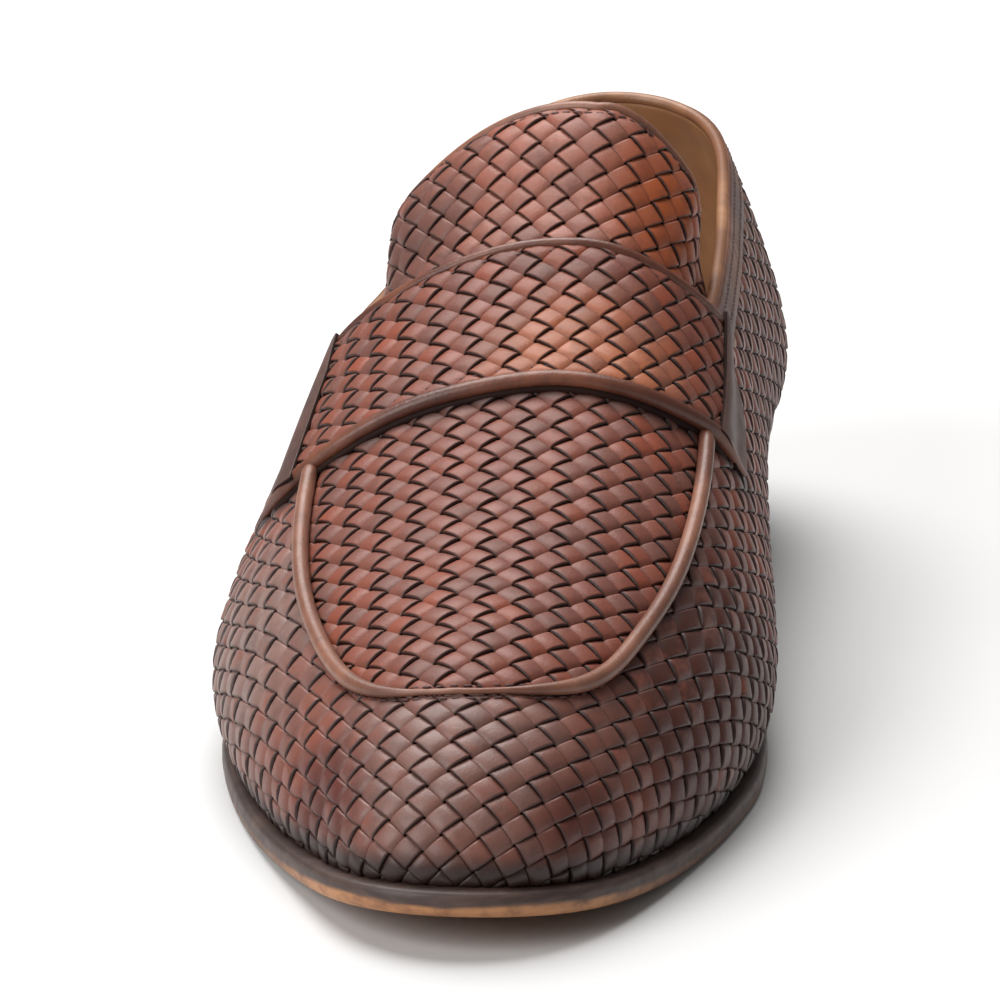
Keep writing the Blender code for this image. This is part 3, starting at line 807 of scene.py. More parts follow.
def wovenFinish(name, look):
    material, tree, shader, place = startFinish(name)
    tone = attribute(tree, "tone").out("Fac")
    rust = attribute(tree, "rust").out("Fac")
    tile = makeNode(tree, "ShaderNodeSeparateXYZ", {}, {0: attribute(tree, "tilePlace").out("Vector")})
    patches = noise(tree, place, look["patchScale"], 2.0)
    mottle = noise(tree, place, look["mottleScale"], 4.0)
    greyed = fade(tree, tone * 0.75 + patches * 0.5, *look["greyFade"])
    colour = blend(tree, greyed, look["brown"], look["grey"])
    rusty = fade(tree, rust * 0.55 + patches * 0.75, *look["rustFade"])
    colour = blend(tree, rusty * look["rustShare"], colour, look["rust"])
    ragged = fade(tree, mottle + rust * 0.5, *look["spotFade"])
    for centre, radius, tint, share in look["spots"]:
        colour = blend(tree, near(tree, place, centre, radius) * ragged * share, colour, tint)
    colour = blend(tree, fade(tree, mottle, *look["darkFade"]) * look["darkShare"], colour, look["dark"])
    ahead = tile.out("Y") * attribute(tree, "facing").out("Fac")
    # painted highlight: the rear long edge of each strip, which faces the light, is lighter
    colour = blend(tree, fade(tree, ahead, *look["rimHighlightFade"]) * look["rimHighlightShare"], colour, look["rim"])
    edgeShade = fade(tree, ahead, *look["frontFade"]) * look["frontShare"]  # painted shade: a dark line at a strip's front edge
    # painted shade along the tiles' sides and ends, where strips go under their neighbours
    edgeShade = edgeShade + fade(tree, abs(tile.out("Y")), *look["sideFade"]) * look["sideShare"]
    edgeShade = edgeShade + fade(tree, abs(tile.out("X")), *look["endFade"]) * look["endShare"]
    colour = blend(tree, edgeShade.calc("MINIMUM", 1.0), colour, look["line"])
    # painted shade down each tile's skirt, into the gaps between strips
    colour = blend(tree, fade(tree, tile.out("Z"), *look["gapShadeFade"]) * look["gapShadeShare"], colour, look["gap"])
    shaded = fade(tree, attribute(tree, "shade").out("Fac"), *look["shadeFade"])
    colour = blend(tree, shaded * look["shadeShare"], colour, look["gap"])
    grain = noise(tree, place, look["grain"], 4.0, 0.65)
    roughness = look["roughness"] + (mottle - 0.5) * look["roughSpread"] + (tone - 0.5) * look["toneSpread"]
    applyFinish(tree, shader, look, colour, roughness, grain + mottle * 0.8)
    return material


def leatherFinish(name, look):
    material, tree, shader, place = startFinish(name)
    patches = noise(tree, place, look["patchScale"], 3.0)
    mottle = noise(tree, place, look["mottleScale"], 5.0)
    colour = blend(tree, fade(tree, patches, *look["lightFade"]), look["dark"], look["light"])
    colour = blend(tree, fade(tree, mottle, *look["deepFade"]) * look["deepShare"], colour, look["deep"])
    pores = makeNode(tree, "ShaderNodeTexVoronoi", {"feature": "F1"},
                     {"Vector": place, "Scale": look["grain"]})
    grain = pores.out("Distance") * 0.6 + noise(tree, place, look["grain"] * 0.7, 4.0) * 0.8
    roughness = look["roughness"] + (mottle - 0.5) * look["roughSpread"]
    roughness = roughness + (patches - 0.5) * look["patchSpread"]
    applyFinish(tree, shader, look, colour, roughness, grain)
    return material


wovenLook = {
    "brown": (0.190, 0.056, 0.035), "grey": (0.138, 0.050, 0.036), "rust": (0.235, 0.050, 0.021),
    # rim is a painted highlight colour; line and gap are painted shade colours
    "dark": (0.055, 0.022, 0.016), "rim": (0.230, 0.100, 0.074), "line": (0.034, 0.0115, 0.0078),
    "gap": (0.012, 0.0040, 0.0028), "patchScale": 34.0, "mottleScale": 260.0, "grain": 1500.0,
    "greyFade": (0.3, 0.95), "rustFade": (0.62, 1.02), "rustShare": 0.75, "spotFade": (0.3, 0.75),
    "darkFade": (0.42, 0.78), "darkShare": 0.4, "rimHighlightFade": (-0.72, -0.96), "rimHighlightShare": 0.3,
    "frontFade": (0.74, 0.97), "frontShare": 0.72, "sideFade": (0.94, 1.0), "sideShare": 0.3,
    "endFade": (0.86, 1.0), "endShare": 0.35, "gapShadeFade": (0.35, 0.9), "gapShadeShare": 0.9,
    "shadeFade": (0.1, 0.8), "shadeShare": 0.92, "spots": (),  # place, radius, colour, share
    "grainDepth": 0.09, "roughness": 0.50, "roughSpread": 0.2, "toneSpread": 0.08,
    "specular": 0.32, "coat": 0.04, "coatRoughness": 0.3,
}
vampLook = dict(wovenLook, specular=0.42, coat=0.14, coatRoughness=0.33, spots=(
    # painted highlight: a grey sheen on the lateral side of the vamp, towards the light
    ((-0.060, -0.070, 0.030), 0.055, (0.200, 0.135, 0.118), 0.85),
    ((0.005, -0.132, 0.034), 0.040, (0.150, 0.078, 0.064), 0.8),
    ((-0.022, -0.128, 0.022), 0.020, (0.090, 0.018, 0.011), 1.2),
    ((0.028, -0.126, 0.018), 0.018, (0.085, 0.019, 0.011), 1.2),
    ((0.052, -0.095, 0.050), 0.022, (0.230, 0.060, 0.026), 0.7),
    # painted shade: the medial side of the vamp darker, away from the light
    ((0.062, -0.075, 0.026), 0.060, (0.060, 0.011, 0.0045), 1.4),
    ((0.000, 0.100, 0.050), 0.110, (0.190, 0.120, 0.100), 0.5),
))
apronLook = dict(wovenLook, spots=(
    ((-0.010, -0.050, 0.070), 0.030, (0.170, 0.046, 0.028), 0.6),
    ((0.020, -0.080, 0.055), 0.025, (0.150, 0.050, 0.037), 0.5),
))
strapLook = dict(wovenLook, spots=(((0.018, -0.026, 0.078), 0.030, (0.350, 0.115, 0.052), 0.85),))
tongueLook = dict(wovenLook, brown=(0.250, 0.076, 0.047), spots=(
    # painted highlight at the top front of the tongue
    ((0.006, 0.015, 0.108), 0.034, (0.330, 0.140, 0.104), 0.6),
    ((-0.036, 0.020, 0.090), 0.036, (0.125, 0.053, 0.041), 1.0),
    ((0.036, 0.022, 0.100), 0.030, (0.320, 0.072, 0.019), 1.0),
))
cordLook = {
    "dark": (0.135, 0.052, 0.032), "light": (0.230, 0.098, 0.060), "deep": (0.085, 0.034, 0.022),
    "patchScale": 40.0, "mottleScale": 260.0, "grain": 1400.0, "grainDepth": 0.06,
    "lightFade": (0.38, 0.66), "deepFade": (0.4, 0.8), "deepShare": 0.5,
    "roughness": 0.42, "roughSpread": 0.25, "patchSpread": 0.1,
    "specular": 0.4, "coat": 0.1, "coatRoughness": 0.3,
}


def stainedLeather(dark, light, deep, **changes):  # the cord's leather in other colours
    return dict(cordLook, dark=dark, light=light, deep=deep, **changes)


rollLook = stainedLeather((0.085, 0.025, 0.014), (0.175, 0.058, 0.030), (0.036, 0.011, 0.007))
bandLook = stainedLeather((0.100, 0.038, 0.022), (0.180, 0.074, 0.042), (0.070, 0.026, 0.017),
                          roughness=0.55, coat=0.0)
tabLook = stainedLeather((0.058, 0.024, 0.018), (0.098, 0.040, 0.028), (0.040, 0.016, 0.012),
                         patchScale=55.0, roughness=0.52, specular=0.3, coat=0.0)
# near-black, the colour of shade in the weave's gaps: painted shade on the under-layers seen through the gaps
# and under the strap's roll; also the tabs' cut edges
underLook = stainedLeather((0.014, 0.005, 0.004), (0.022, 0.009, 0.006), (0.009, 0.003, 0.0025),
                           roughness=0.7, specular=0.12, coat=0.0)
liningLook = stainedLeather((0.300, 0.140, 0.062), (0.440, 0.230, 0.112), (0.190, 0.110, 0.072),
                            patchScale=26.0, mottleScale=110.0, grain=1100.0, grainDepth=0.05,
                            roughness=0.55, coat=0.05)
bindingLook = stainedLeather((0.190, 0.080, 0.038), (0.340, 0.165, 0.080), (0.130, 0.056, 0.032),
                             patchScale=30.0)
threadLook = stainedLeather((0.050, 0.020, 0.018), (0.080, 0.034, 0.030), (0.034, 0.013, 0.012),
                            grain=2600.0, roughness=0.6, coat=0.0)

vampFinish = wovenFinish("wovenVamp", vampLook)
apronFinish = wovenFinish("wovenApron", apronLook)
strapFinish = wovenFinish("wovenStrap", strapLook)
tongueFinish = wovenFinish("wovenTongue", tongueLook)
cordFinish = leatherFinish("cordLeather", cordLook)
rollFinish = leatherFinish("rollLeather", rollLook)
bandFinish = leatherFinish("bandLeather", bandLook)
tabFinish = leatherFinish("tabLeather", tabLook)
underFinish = leatherFinish("underLeather", underLook)
liningFinish = leatherFinish("liningLeather", liningLook)
bindingFinish = leatherFinish("bindingLeather", bindingLook)
threadFinish = leatherFinish("thread", threadLook)


def squeezed(tree, place, height):  # the pattern lies in flat layers
    return makeNode(tree, "ShaderNodeMapping", {}, {"Vector": place, "Scale": (1, 1, height)})


def soleFinish(name, look):  # dark burnished edge, tan towards the bottom at the toe
    material, tree, shader, place = startFinish(name)
    streaks = noise(tree, squeezed(tree, place, look["streakSqueeze"]), look["streakScale"], 4.0)
    mottle = noise(tree, place, look["mottleScale"], 5.0)
    level = attribute(tree, "level").out("Fac")
    toe = attribute(tree, "toe").out("Fac")
    colour = blend(tree, fade(tree, streaks, *look["streakFade"]), look["edge"], look["edgeLight"])
    stained = fade(tree, streaks + (mottle - 0.5) * 0.5, *look["tanFade"])
    tan = blend(tree, stained, look["tan"], look["tanDark"])
    low = fade(tree, level + (streaks - 0.5) * 0.25, *look["levelFade"]) * (0.25 + toe * 0.75)
    colour = blend(tree, low, colour, tan)
    colour = blend(tree, fade(tree, mottle, *look["deepFade"]) * look["deepShare"], colour, look["deep"])
    roughness = look["roughness"] + (mottle - 0.5) * look["roughSpread"]
    applyFinish(tree, shader, look, colour, roughness, mottle + streaks)
    return material


def heelFinish(name, look):  # stacked lifts, burnished dark
    material, tree, shader, place = startFinish(name)
    height = makeNode(tree, "ShaderNodeSeparateXYZ", {}, {0: place}).out("Z")
    layers = (height / (look["lift"] * mm)).calc("FRACT")
    joint = fade(tree, abs(layers - 0.5), *look["jointFade"])
    streaks = noise(tree, squeezed(tree, place, look["streakSqueeze"]), look["streakScale"], 5.0)
    colour = blend(tree, fade(tree, streaks, *look["streakFade"]), look["dark"], look["light"])
    colour = blend(tree, joint * look["jointShare"], colour, look["deep"])
    roughness = look["roughness"] + (streaks - 0.5) * look["roughSpread"]
    applyFinish(tree, shader, look, colour, roughness, streaks * 0.6 - joint * 0.8)
    return material


soleLook = {
    "edge": (0.040, 0.022, 0.017), "edgeLight": (0.085, 0.050, 0.040), "tan": (0.420, 0.190, 0.075),
    "tanDark": (0.230, 0.095, 0.042), "deep": (0.030, 0.016, 0.012), "grainDepth": 0.1,
    "streakScale": 90.0, "streakSqueeze": 6.0, "mottleScale": 320.0, "streakFade": (0.35, 0.7),
    "tanFade": (0.35, 0.75), "levelFade": (0.52, 0.3), "deepFade": (0.5, 0.85), "deepShare": 0.5,
    "roughness": 0.48, "roughSpread": 0.3, "specular": 0.45, "coat": 0.05, "coatRoughness": 0.4,
}
heelLook = {
    "dark": (0.020, 0.014, 0.012), "light": (0.052, 0.038, 0.032), "deep": (0.008, 0.005, 0.004), "lift": 4.9,
    "streakScale": 70.0, "streakSqueeze": 8.0, "streakFade": (0.3, 0.7), "jointFade": (0.42, 0.5),
    "jointShare": 0.6, "grainDepth": 0.08,
    "roughness": 0.3, "roughSpread": 0.2, "specular": 0.5, "coat": 0.35, "coatRoughness": 0.2,
}
soleEdgeFinish = soleFinish("soleLeather", soleLook)
heelStackFinish = heelFinish("heelStack", heelLook)
print("finishes made")


# sole, heel and insole
soleShape = {
    "step": 2.0, "toeTan": (10.0, 46.0), "sharp": 60.0,
    "profile": (  # share of the thickness, inset from the edge
        (0.0, 3.2), (0.0, 1.3), (0.05, 0.55), (0.16, 0.15), (0.36, 0.0), (0.60, 0.02), (0.80, 0.2),
        (0.93, 0.6), (1.0, 1.3), (1.0, 4.5), (0.94, 7.5)),
}
heelShape = {
    "taper": 1.5, "halfTaper": 1.0, "inset": 0.6, "hollow": 6.0, "breastRadius": 120.0, "lifts": 5,
    "groove": 0.22, "wallPoints": 90, "breastPoints": 24, "slack": 0.01, "sharp": 50.0,
    "liftProfile": (  # share of a lift, share of the groove
        (0.0, 1.0), (0.08, 0.15), (0.5, 0.0), (0.92, 0.15), (1.0, 1.0)),
}
insoleShape = {"step": 3.0, "inset": 2.6, "thickness": 2.5,
               "profile": ((0.0, 0.0), (0.75, 0.0), (1.0, 0.5), (1.0, 2.0))}


def roundAngles(step):
    half = np.radians(np.arange(0.0, 180.0 + step / 2, step))
    return np.concatenate([half, 2 * math.pi - half[-2:0:-1]])


def stripCap(base, count, flip):  # strips between the two sides of a ring
    half = count // 2
    faces = [(base, base + 1, base + count - 1)]
    for j in range(1, half - 1):
        faces.append((base + j, base + j + 1, base + count - j - 1, base + count - j))
    faces.append((base + half - 1, base + half, base + half + 1))
    return [face[::-1] for face in faces] if flip else faces


def loft(name, rings, materials):
    count = len(rings[0])
    faces = gridFaces(len(rings), count, True)
    faces += stripCap(0, count, True) + stripCap((len(rings) - 1) * count, count, False)
    piece = meshPiece(name, np.concatenate(rings), faces, materials)
    faceOutwards(piece)
    return piece


def makeOutsole():
    angle = roundAngles(soleShape["step"])
    edge = soleEdge(angle)
    low = soleBottom(station(angle))
    rings = [outlineRing(angle, edge - inset, low + share * lastShape["outsole"])
             for share, inset in soleShape["profile"]]
    piece = loft("outsoleLeather", rings, [soleEdgeFinish])
    solid = np.array([v.co[:] for v in piece.data.vertices]) / mm - lastShape["place"]
    fromToe = np.clip(solid[:, 1] + lastShape["length"] / 2, 0, None)
    level = (solid[:, 2] - soleBottom(fromToe)) / lastShape["outsole"]
    tan, dark = soleShape["toeTan"]
    mark(piece.data, "level", level)
    mark(piece.data, "toe", smoothStep((dark - fromToe) / (dark - tan)))
    piece.data.set_sharp_from_angle(angle=math.radians(soleShape["sharp"]))
    return settle(piece, "outsole", "outsole")


def makeHeel():
    breast = float(angleOf(lastShape["heelBreast"]))
    around = np.linspace(breast, 2 * math.pi - breast, heelShape["wallPoints"])
    top = lastShape["heelHeight"] - lastShape["gap"]
    breastY = lastShape["heelBreast"] - lastShape["length"] / 2
    centreY = breastY + heelShape["hollow"] - heelShape["breastRadius"]
    rings = []
    for lift in range(heelShape["lifts"]):
        for share, groove in heelShape["liftProfile"]:
            z = top * (lift + share) / heelShape["lifts"]
            taper = np.interp(z, (0, top / 2, top), (heelShape["taper"], heelShape["halfTaper"], 0.0))
            inset = heelShape["inset"] + taper + groove * heelShape["groove"]
            wall = outlineRing(around, soleEdge(around) - inset, z)
            across = np.linspace(wall[-1, 0], wall[0, 0], heelShape["breastPoints"] + 2)[1:-1]
            hollow = centreY + np.sqrt(heelShape["breastRadius"] ** 2 - across**2)
            inside = np.interp(wall[:, 0], across, hollow)
            wall[:, 1] = np.where(wall[:, 1] > inside - heelShape["slack"], wall[:, 1], inside)
            rings.append(np.concatenate([wall, np.column_stack([across, hollow, np.full(len(across), z)])]))
    count = len(rings[0])
    faces = gridFaces(len(rings), count, True)
    faces += [tuple(range(count))[::-1], tuple(range((len(rings) - 1) * count, len(rings) * count))]
    piece = meshPiece("heelStack", np.concatenate(rings), faces, [heelStackFinish])
    faceOutwards(piece)
    piece.data.set_sharp_from_angle(angle=math.radians(heelShape["sharp"]))
    return settle(piece, "heel", "heel")


def makeInsole():
    angle = roundAngles(insoleShape["step"])
    low = featherHeight(angle)
    rings = [outlineRing(angle, -insoleShape["inset"] - inset, low + insoleShape["thickness"] * share)
             for share, inset in insoleShape["profile"]]
    return settle(loft("insoleSock", rings, [liningFinish]), "insole", "insole")


makeOutsole()
makeHeel()
makeInsole()

# upper: lined shell, woven vamp and quarters, woven apron; made after the strap's lines, which shade them
upperShape = {
    "under": -0.75, "shellStep": 2.0, "shellRows": 31, "weaveBase": -0.05,
    "wingFront": 79.0, "wingRear": 98.0, "wingRows": 27, "backEnd": 171.5, "sideColumns": 84,
    "toeSpan": 24.0, "toeColumns": 44, "tuck": (3.2, 1.6), "tuckDrop": 0.1, "wingSeed": 11,
    "collarStrip": 9.0, "collarFront": 93.0, "stripLap": 1.2, "collarClimb": 0.25, "cordOverlap": 0.8,
    "apronRear": 87.0, "apronLean": 8.0, "apronRows": 19, "apronToe": 17, "apronSide": 40, "apronSeed": 23,
    "bend": {"middle": 0.022, "reach": 0.085, "turn": 72.0},
    "dents": (  # centre, radius, depth
        ((-24.0, -126.0, 20.0), 11.0, 0.8), ((40.0, -110.0, 20.0), 11.0, 0.7),
        ((8.0, -137.0, 30.0), 9.0, -0.4)),
}


def apronEdge(angle, shift):  # the seam of the apron, moved up the section
    degrees = np.clip(np.degrees(angle), -upperShape["wingFront"], upperShape["wingFront"])
    return riseFurther(angle, apronRise(degrees), shift)


def wingTop(angle):  # top edge of the woven vamp and quarters, over angles from -pi to pi
    apron = apronEdge(angle, upperShape["cordOverlap"])
    collar = riseFurther(angle, collarRise(angle), -(upperShape["collarStrip"] - upperShape["stripLap"]))
    front, rear = upperShape["wingFront"], upperShape["wingRear"]
    share = smoothStep((np.abs(np.degrees(angle)) - front) / (rear - front))
    return apron + (np.minimum(collar, apron + upperShape["collarClimb"]) - apron) * share


def makeShell():
    angle = roundAngles(upperShape["shellStep"])
    rise = np.linspace(0, 1, upperShape["shellRows"])[:, None] * collarRise(angle)
    outer = overLast(angle, rise, upperShape["under"])
    inner = overLast(angle, rise, -lastShape["wall"])
    shell = slab("upperShell", outer, inner, [underFinish, liningFinish, bindingFinish], True)
    return settle(shell, "upper", "upper")


def makeWings():
    back, toe, columns = upperShape["backEnd"], upperShape["toeSpan"], upperShape["sideColumns"]
    angle = np.radians(np.concatenate([
        np.linspace(-back, -toe, columns)[:-1], np.linspace(-toe, toe, upperShape["toeColumns"]),
        np.linspace(toe, back, columns)[1:]]))
    rise = np.linspace(0, 1, upperShape["wingRows"])[:, None] * wingTop(angle)
    sheet = overLast(angle, rise, upperShape["weaveBase"])
    facing = lastNormal(angle, rise)
    for centre, radius, depth in upperShape["dents"]:
        share = np.exp(-(np.linalg.norm(sheet - np.array(centre), axis=-1) / radius) ** 2)
        sheet = sheet - depth * share[..., None] * facing
    low = featherHeight(angle) - upperShape["tuckDrop"]
    tucked = [outlineRing(angle, -margin, low) for margin in upperShape["tuck"]]
    grid = np.concatenate([np.array(tucked), sheet])
    ends = (sheet[0, len(angle) // 2], sheet[-1, len(angle) // 2])
    shadow = np.concatenate([rollLine()[0], sheet[0]])
    border = np.concatenate([sheet[-1], sheet[:, 0], sheet[:, -1]])
    piece = weave("upperWeave", grid, border, shadow, ends, vampFinish, upperShape["wingSeed"],
                  bend=upperShape["bend"])
    return settle(piece, "upper")


def makeApron():
    toe = upperShape["toeSpan"]
    half = np.radians(np.concatenate([np.linspace(0, toe, upperShape["apronToe"])[:-1],
                                      np.linspace(toe, upperShape["apronRear"], upperShape["apronSide"])]))
    angle = np.concatenate([-half[:0:-1], half])
    edge = apronEdge(angle, -upperShape["cordOverlap"])
    rise = edge + (1 - edge) * np.linspace(0, 1, upperShape["apronRows"])[:, None]
    grid = overLast(angle, rise, upperShape["weaveBase"])
    grid[-1] = (grid[-1] + grid[-1, ::-1]) / 2  # both halves meet on the ridge
    ends = (grid[0, len(half) - 1], grid[-1, -1])
    piece = weave("apronWeave", grid, grid[0], rollLine()[0], ends, apronFinish, upperShape["apronSeed"],
                  lean=upperShape["apronLean"])
    return settle(piece, "upper")


# apron cord, with the stitched seam across the toe
apronCord = {
    "side": 1.7, "toe": 0.6, "fade": (18.0, 40.0), "ends": (-78.5, 83.5), "bury": 2.0, "sink": 1.4,
    "seat": 0.35, "stand": 0.8, "stitchPitch": 2.6, "stitchLift": 0.55, "stitchSeed": 5,
    "stitchRows": ((-1.5, 40.0), (1.6, 26.0)),  # distance up from the seam, degrees to each side
}


def apronPath(shift, height, ends, count=161):
    degrees = np.linspace(*ends, count)
    angle = np.radians(degrees)
    edge = apronEdge(angle, shift)
    return degrees, overLast(angle, edge, height), lastNormal(angle, edge)


def makeApronCord():
    ends = apronCord["ends"]
    degrees, path, facing = apronPath(0.0, 0.0, ends)
    start, full = apronCord["fade"]
    share = smoothStep((np.abs(degrees) - start) / (full - start))
    radius = apronCord["toe"] + (apronCord["side"] - apronCord["toe"]) * share
    under = smoothStep(1 - np.minimum(degrees - ends[0], ends[1] - degrees) / apronCord["bury"])
    lift = radius * apronCord["stand"] + apronCord["seat"] - apronCord["sink"] * under
    rows = [cord("cordBody", path + facing * lift[:, None], radius, cordFinish)]
    for shift, limit in apronCord["stitchRows"]:
        _, seam, up = apronPath(shift, apronCord["stitchLift"], (-limit, limit))
        rows.append(stitches("cordStitch", seam, up, apronCord["stitchPitch"], apronCord["stitchSeed"]))
    return settle(join("apronCord", rows), "apron_piping", "apron_piping")


makeApronCord()

# saddle strap with its rolled front edge, bound rear edge and side tabs
strapShape = {
    "low": 0.4, "base": 1.9, "baseGrid": (14, 61), "weave": 2.3, "weaveGrid": (20, 81), "spread": 0.5,
    "ridgeColumn": 45, "seed": 37, "pressReach": 2.4, "lean": 14.0, "reach": 1.5,
    "frontCord": 1.8, "frontInset": 0.4, "frontSeat": 0.1, "rollReach": (13.0, 14.5), "rollSlant": 0.42,
    "rollDrop": 0.9, "rollThin": 0.55, "shadowAhead": 1.7, "shadowLower": 1.2, "shadowSize": 0.5,
    "rearCord": 1.15, "rearInset": 0.4, "rearLift": 0.2,
    "stitchPitch": 2.4, "stitchLift": 0.35, "stitchSeed": 9, "stitchRows": ((2.9, False), (2.3, True)),
}
strapGirth, strapFront, strapRear = np.array(strapTable).T


def strapEdges(girth):  # one curve on each side of the ridge
    outer = strapGirth <= 0
    inner = strapGirth >= 0
    edges = []
    for edge in (strapFront, strapRear):
        lateral = smoothCurve(strapGirth[outer], edge[outer])
        medial = smoothCurve(strapGirth[inner], edge[inner])
        edges.append(np.where(np.asarray(girth) < 0, lateral(girth), medial(girth)))
    return edges


def strapGrid(rows, columns, height, spread=0.0):
    girth = np.linspace(strapGirth[0] - spread, strapGirth[-1] + spread, columns)
    front, rear = strapEdges(girth)
    along = front + (rear - front) * np.linspace(0, 1, rows)[:, None]
    return surfaceAt(along, np.broadcast_to(girth, along.shape), height)


def strapLine(offset, height, rear, count=91):
    girth = np.linspace(strapGirth[0] - strapShape["reach"], strapGirth[-1] + strapShape["reach"], count)
    front, back = strapEdges(girth)
    along = back - offset if rear else front + offset
    path = surfaceAt(along, girth, height)
    return path, unit(surfaceAt(along, girth, height + 1.0) - path)


# the front roll and its runs down the tabs, with the radius of each point
def rollLine(ahead=0.0, lower=0.0, count=121):
    lateral, medial = strapShape["rollReach"]
    girth = np.linspace(strapGirth[0] - lateral, strapGirth[-1] + medial, count)
    past = np.maximum(np.maximum(strapGirth[0] - girth, girth - strapGirth[-1]), 0)
    share = smoothStep(past / min(lateral, medial))
    along = strapEdges(np.clip(girth, strapGirth[0], strapGirth[-1]))[0] + strapShape["frontInset"] - ahead
    along = along + strapShape["rollSlant"] * past
    height = strapShape["base"] - strapShape["frontSeat"] - lower - strapShape["rollDrop"] * share
    path = surfaceAt(along, girth, height)
    return path, strapShape["frontCord"] * (1 - strapShape["rollThin"] * share)


def makeStrap():
    outer = strapGrid(*strapShape["baseGrid"], strapShape["base"])
    inner = strapGrid(*strapShape["baseGrid"], strapShape["low"])
    base = slab("strapBase", outer, inner, [underFinish, liningFinish, underFinish])
    rearPath = strapLine(strapShape["rearInset"], strapShape["base"] + strapShape["rearLift"], True)[0]
    # a thin near-black cord below and ahead of the roll: painted shadow under the roll
    shadowPath, shadowRadius = rollLine(strapShape["shadowAhead"], strapShape["shadowLower"])
    rows = [base, cord("strapRoll", *rollLine(), rollFinish),
            cord("strapFold", shadowPath, shadowRadius * strapShape["shadowSize"], underFinish),
            cord("strapBinding", rearPath, strapShape["rearCord"], rollFinish)]
    for offset, rear in strapShape["stitchRows"]:
        path, up = strapLine(offset, strapShape["weave"] + strapShape["stitchLift"], rear)
        rows.append(stitches("strapStitch", path, up, strapShape["stitchPitch"], strapShape["stitchSeed"]))
    settle(join("strapBody", rows), "strap", "strap")
    grid = strapGrid(*strapShape["weaveGrid"], strapShape["weave"], strapShape["spread"])
    border = np.concatenate([grid[0], grid[-1]])
    ridge = grid[:, strapShape["ridgeColumn"]]
    piece = weave("strapWeave", grid, border, (), (ridge[0], ridge[-1]), strapFinish, strapShape["seed"],
                  strapShape["pressReach"], strapShape["lean"])
    return settle(piece, "strap")


tabShape = {
    "thickness": 0.9, "top": 2.9, "low": 0.3, "lead": 0.5, "ease": 11.0, "bevel": 0.3, "sharp": 40.0,
    "round": 4.0, "taper": 3.2, "taperFrom": 1.5, "rearLap": 0.8, "rows": 20, "columns": 26,
    "sides": {  # side, upper end, lower end, front slant, rear slant, overlap, node
        "strapTabLateral": (-1, 61.6, 76.0, 0.45, -0.3, 5.0, "strap_tab_lateral"),
        "strapTabMedial": (1, 40.6, 56.0, 0.4, -0.25, 1.5, "strap_tab_medial")},
}


def makeTabs():
    for name, (side, top, bottom, frontSlant, rearSlant, overlap, node) in tabShape["sides"].items():
        girth = np.linspace(top - overlap, bottom, tabShape["columns"])
        front, rear = strapEdges(side * top)
        bow = np.clip((girth - bottom) / tabShape["round"] + 1, 0, 1)
        corner = tabShape["round"] * (1 - np.sqrt(1 - bow**2))
        front = front + frontSlant * (girth - top) + corner
        rear = rear + rearSlant * np.maximum(girth - top, 0) + tabShape["rearLap"] - corner
        rear = rear - tabShape["taper"] * np.maximum(top - girth - tabShape["taperFrom"], 0)
        along = front + (rear - front) * np.linspace(0, 1, tabShape["rows"])[:, None]
        drop = smoothStep((girth - top + tabShape["lead"]) / tabShape["ease"])
        low = np.broadcast_to(tabShape["top"] + (tabShape["low"] - tabShape["top"]) * drop, along.shape)
        across = np.broadcast_to(side * girth, along.shape)
        inner = surfaceAt(along, across, low)
        outer = surfaceAt(along, across, low + tabShape["thickness"])
        if side < 0:
            inner = inner[:, ::-1]
            outer = outer[:, ::-1]
        piece = slab(name, outer, inner, [tabFinish, tabFinish, underFinish])
        piece.data.set_sharp_from_angle(angle=math.radians(tabShape["sharp"]))
        bevel = piece.modifiers.new("edges", "BEVEL")
        bevel.width = tabShape["bevel"] * mm
        bevel.segments = 2
        bevel.limit_method = "ANGLE"
        settle(piece, "strap_tabs", node)


makeShell()
makeWings()
makeApron()
makeStrap()
makeTabs()

# tongue with its bound edge and lining
tongueShape = {
    "root": 137.0, "corner": 160.0, "tip": 183.0, "dip": 5.0, "lateral": 63.5, "medial": 52.0, "square": 3.4,
    "lateralFlare": 6.5, "medialFlare": 6.0, "thick": 2.6, "gap": 1.6, "along": (158.0, 176.0),
    "over": (0.02, 0.2), "baseGrid": (22, 61), "baseDrop": 0.6, "weaveGrid": (26, 81), "weaveDrop": 0.05,
    "seed": 41, "edgeGrid": (22, 121), "binding": 1.25, "bindingGrow": 0.2, "bindingLift": 0.5,
    "stitchPitch": 2.4, "stitchLift": 0.45, "stitchInset": (11, 1), "stitchSeed": 13,
}


def tongueGrid(rows, columns, height, grow=0.0):
    spread = np.sin(np.linspace(-1, 1, columns) * math.pi / 2)
    square = tongueShape["square"]
    top = (1 - np.abs(spread) ** square) ** (1 / square)
    end = tongueShape["corner"] + (tongueShape["tip"] - tongueShape["corner"] + grow) * top
    end = end - tongueShape["dip"] * (1 - spread**2) ** 2
    along = tongueShape["root"] + (end - tongueShape["root"]) * np.linspace(0, 1, rows)[:, None]
    half = np.where(spread < 0, tongueShape["lateral"], tongueShape["medial"]) + grow
    girth = np.broadcast_to(half * spread, along.shape)
    angle, rise = angleAndRise(along, girth)
    free = 1.0  # 0 where the upper holds the tongue down
    limits = ((along, tongueShape["along"]), (rise - collarRise(angle), tongueShape["over"]))
    for value, (low, high) in limits:
        free = free * smoothStep((value - low) / (high - low))
    flare = np.where(spread < 0, tongueShape["lateralFlare"], tongueShape["medialFlare"]) * spread**2
    below = lastShape["wall"] + tongueShape["gap"]
    return surfaceAt(along, girth, -below + (below + flare) * free + height)


def tongueOutline(grow, height, side=0, back=0):
    rows, columns = tongueShape["edgeGrid"]
    grid = tongueGrid(rows, columns, height, grow)[:rows - back, side:columns - side]
    return np.concatenate([grid[:-1, 0], grid[-1], grid[:-1, -1][::-1]])


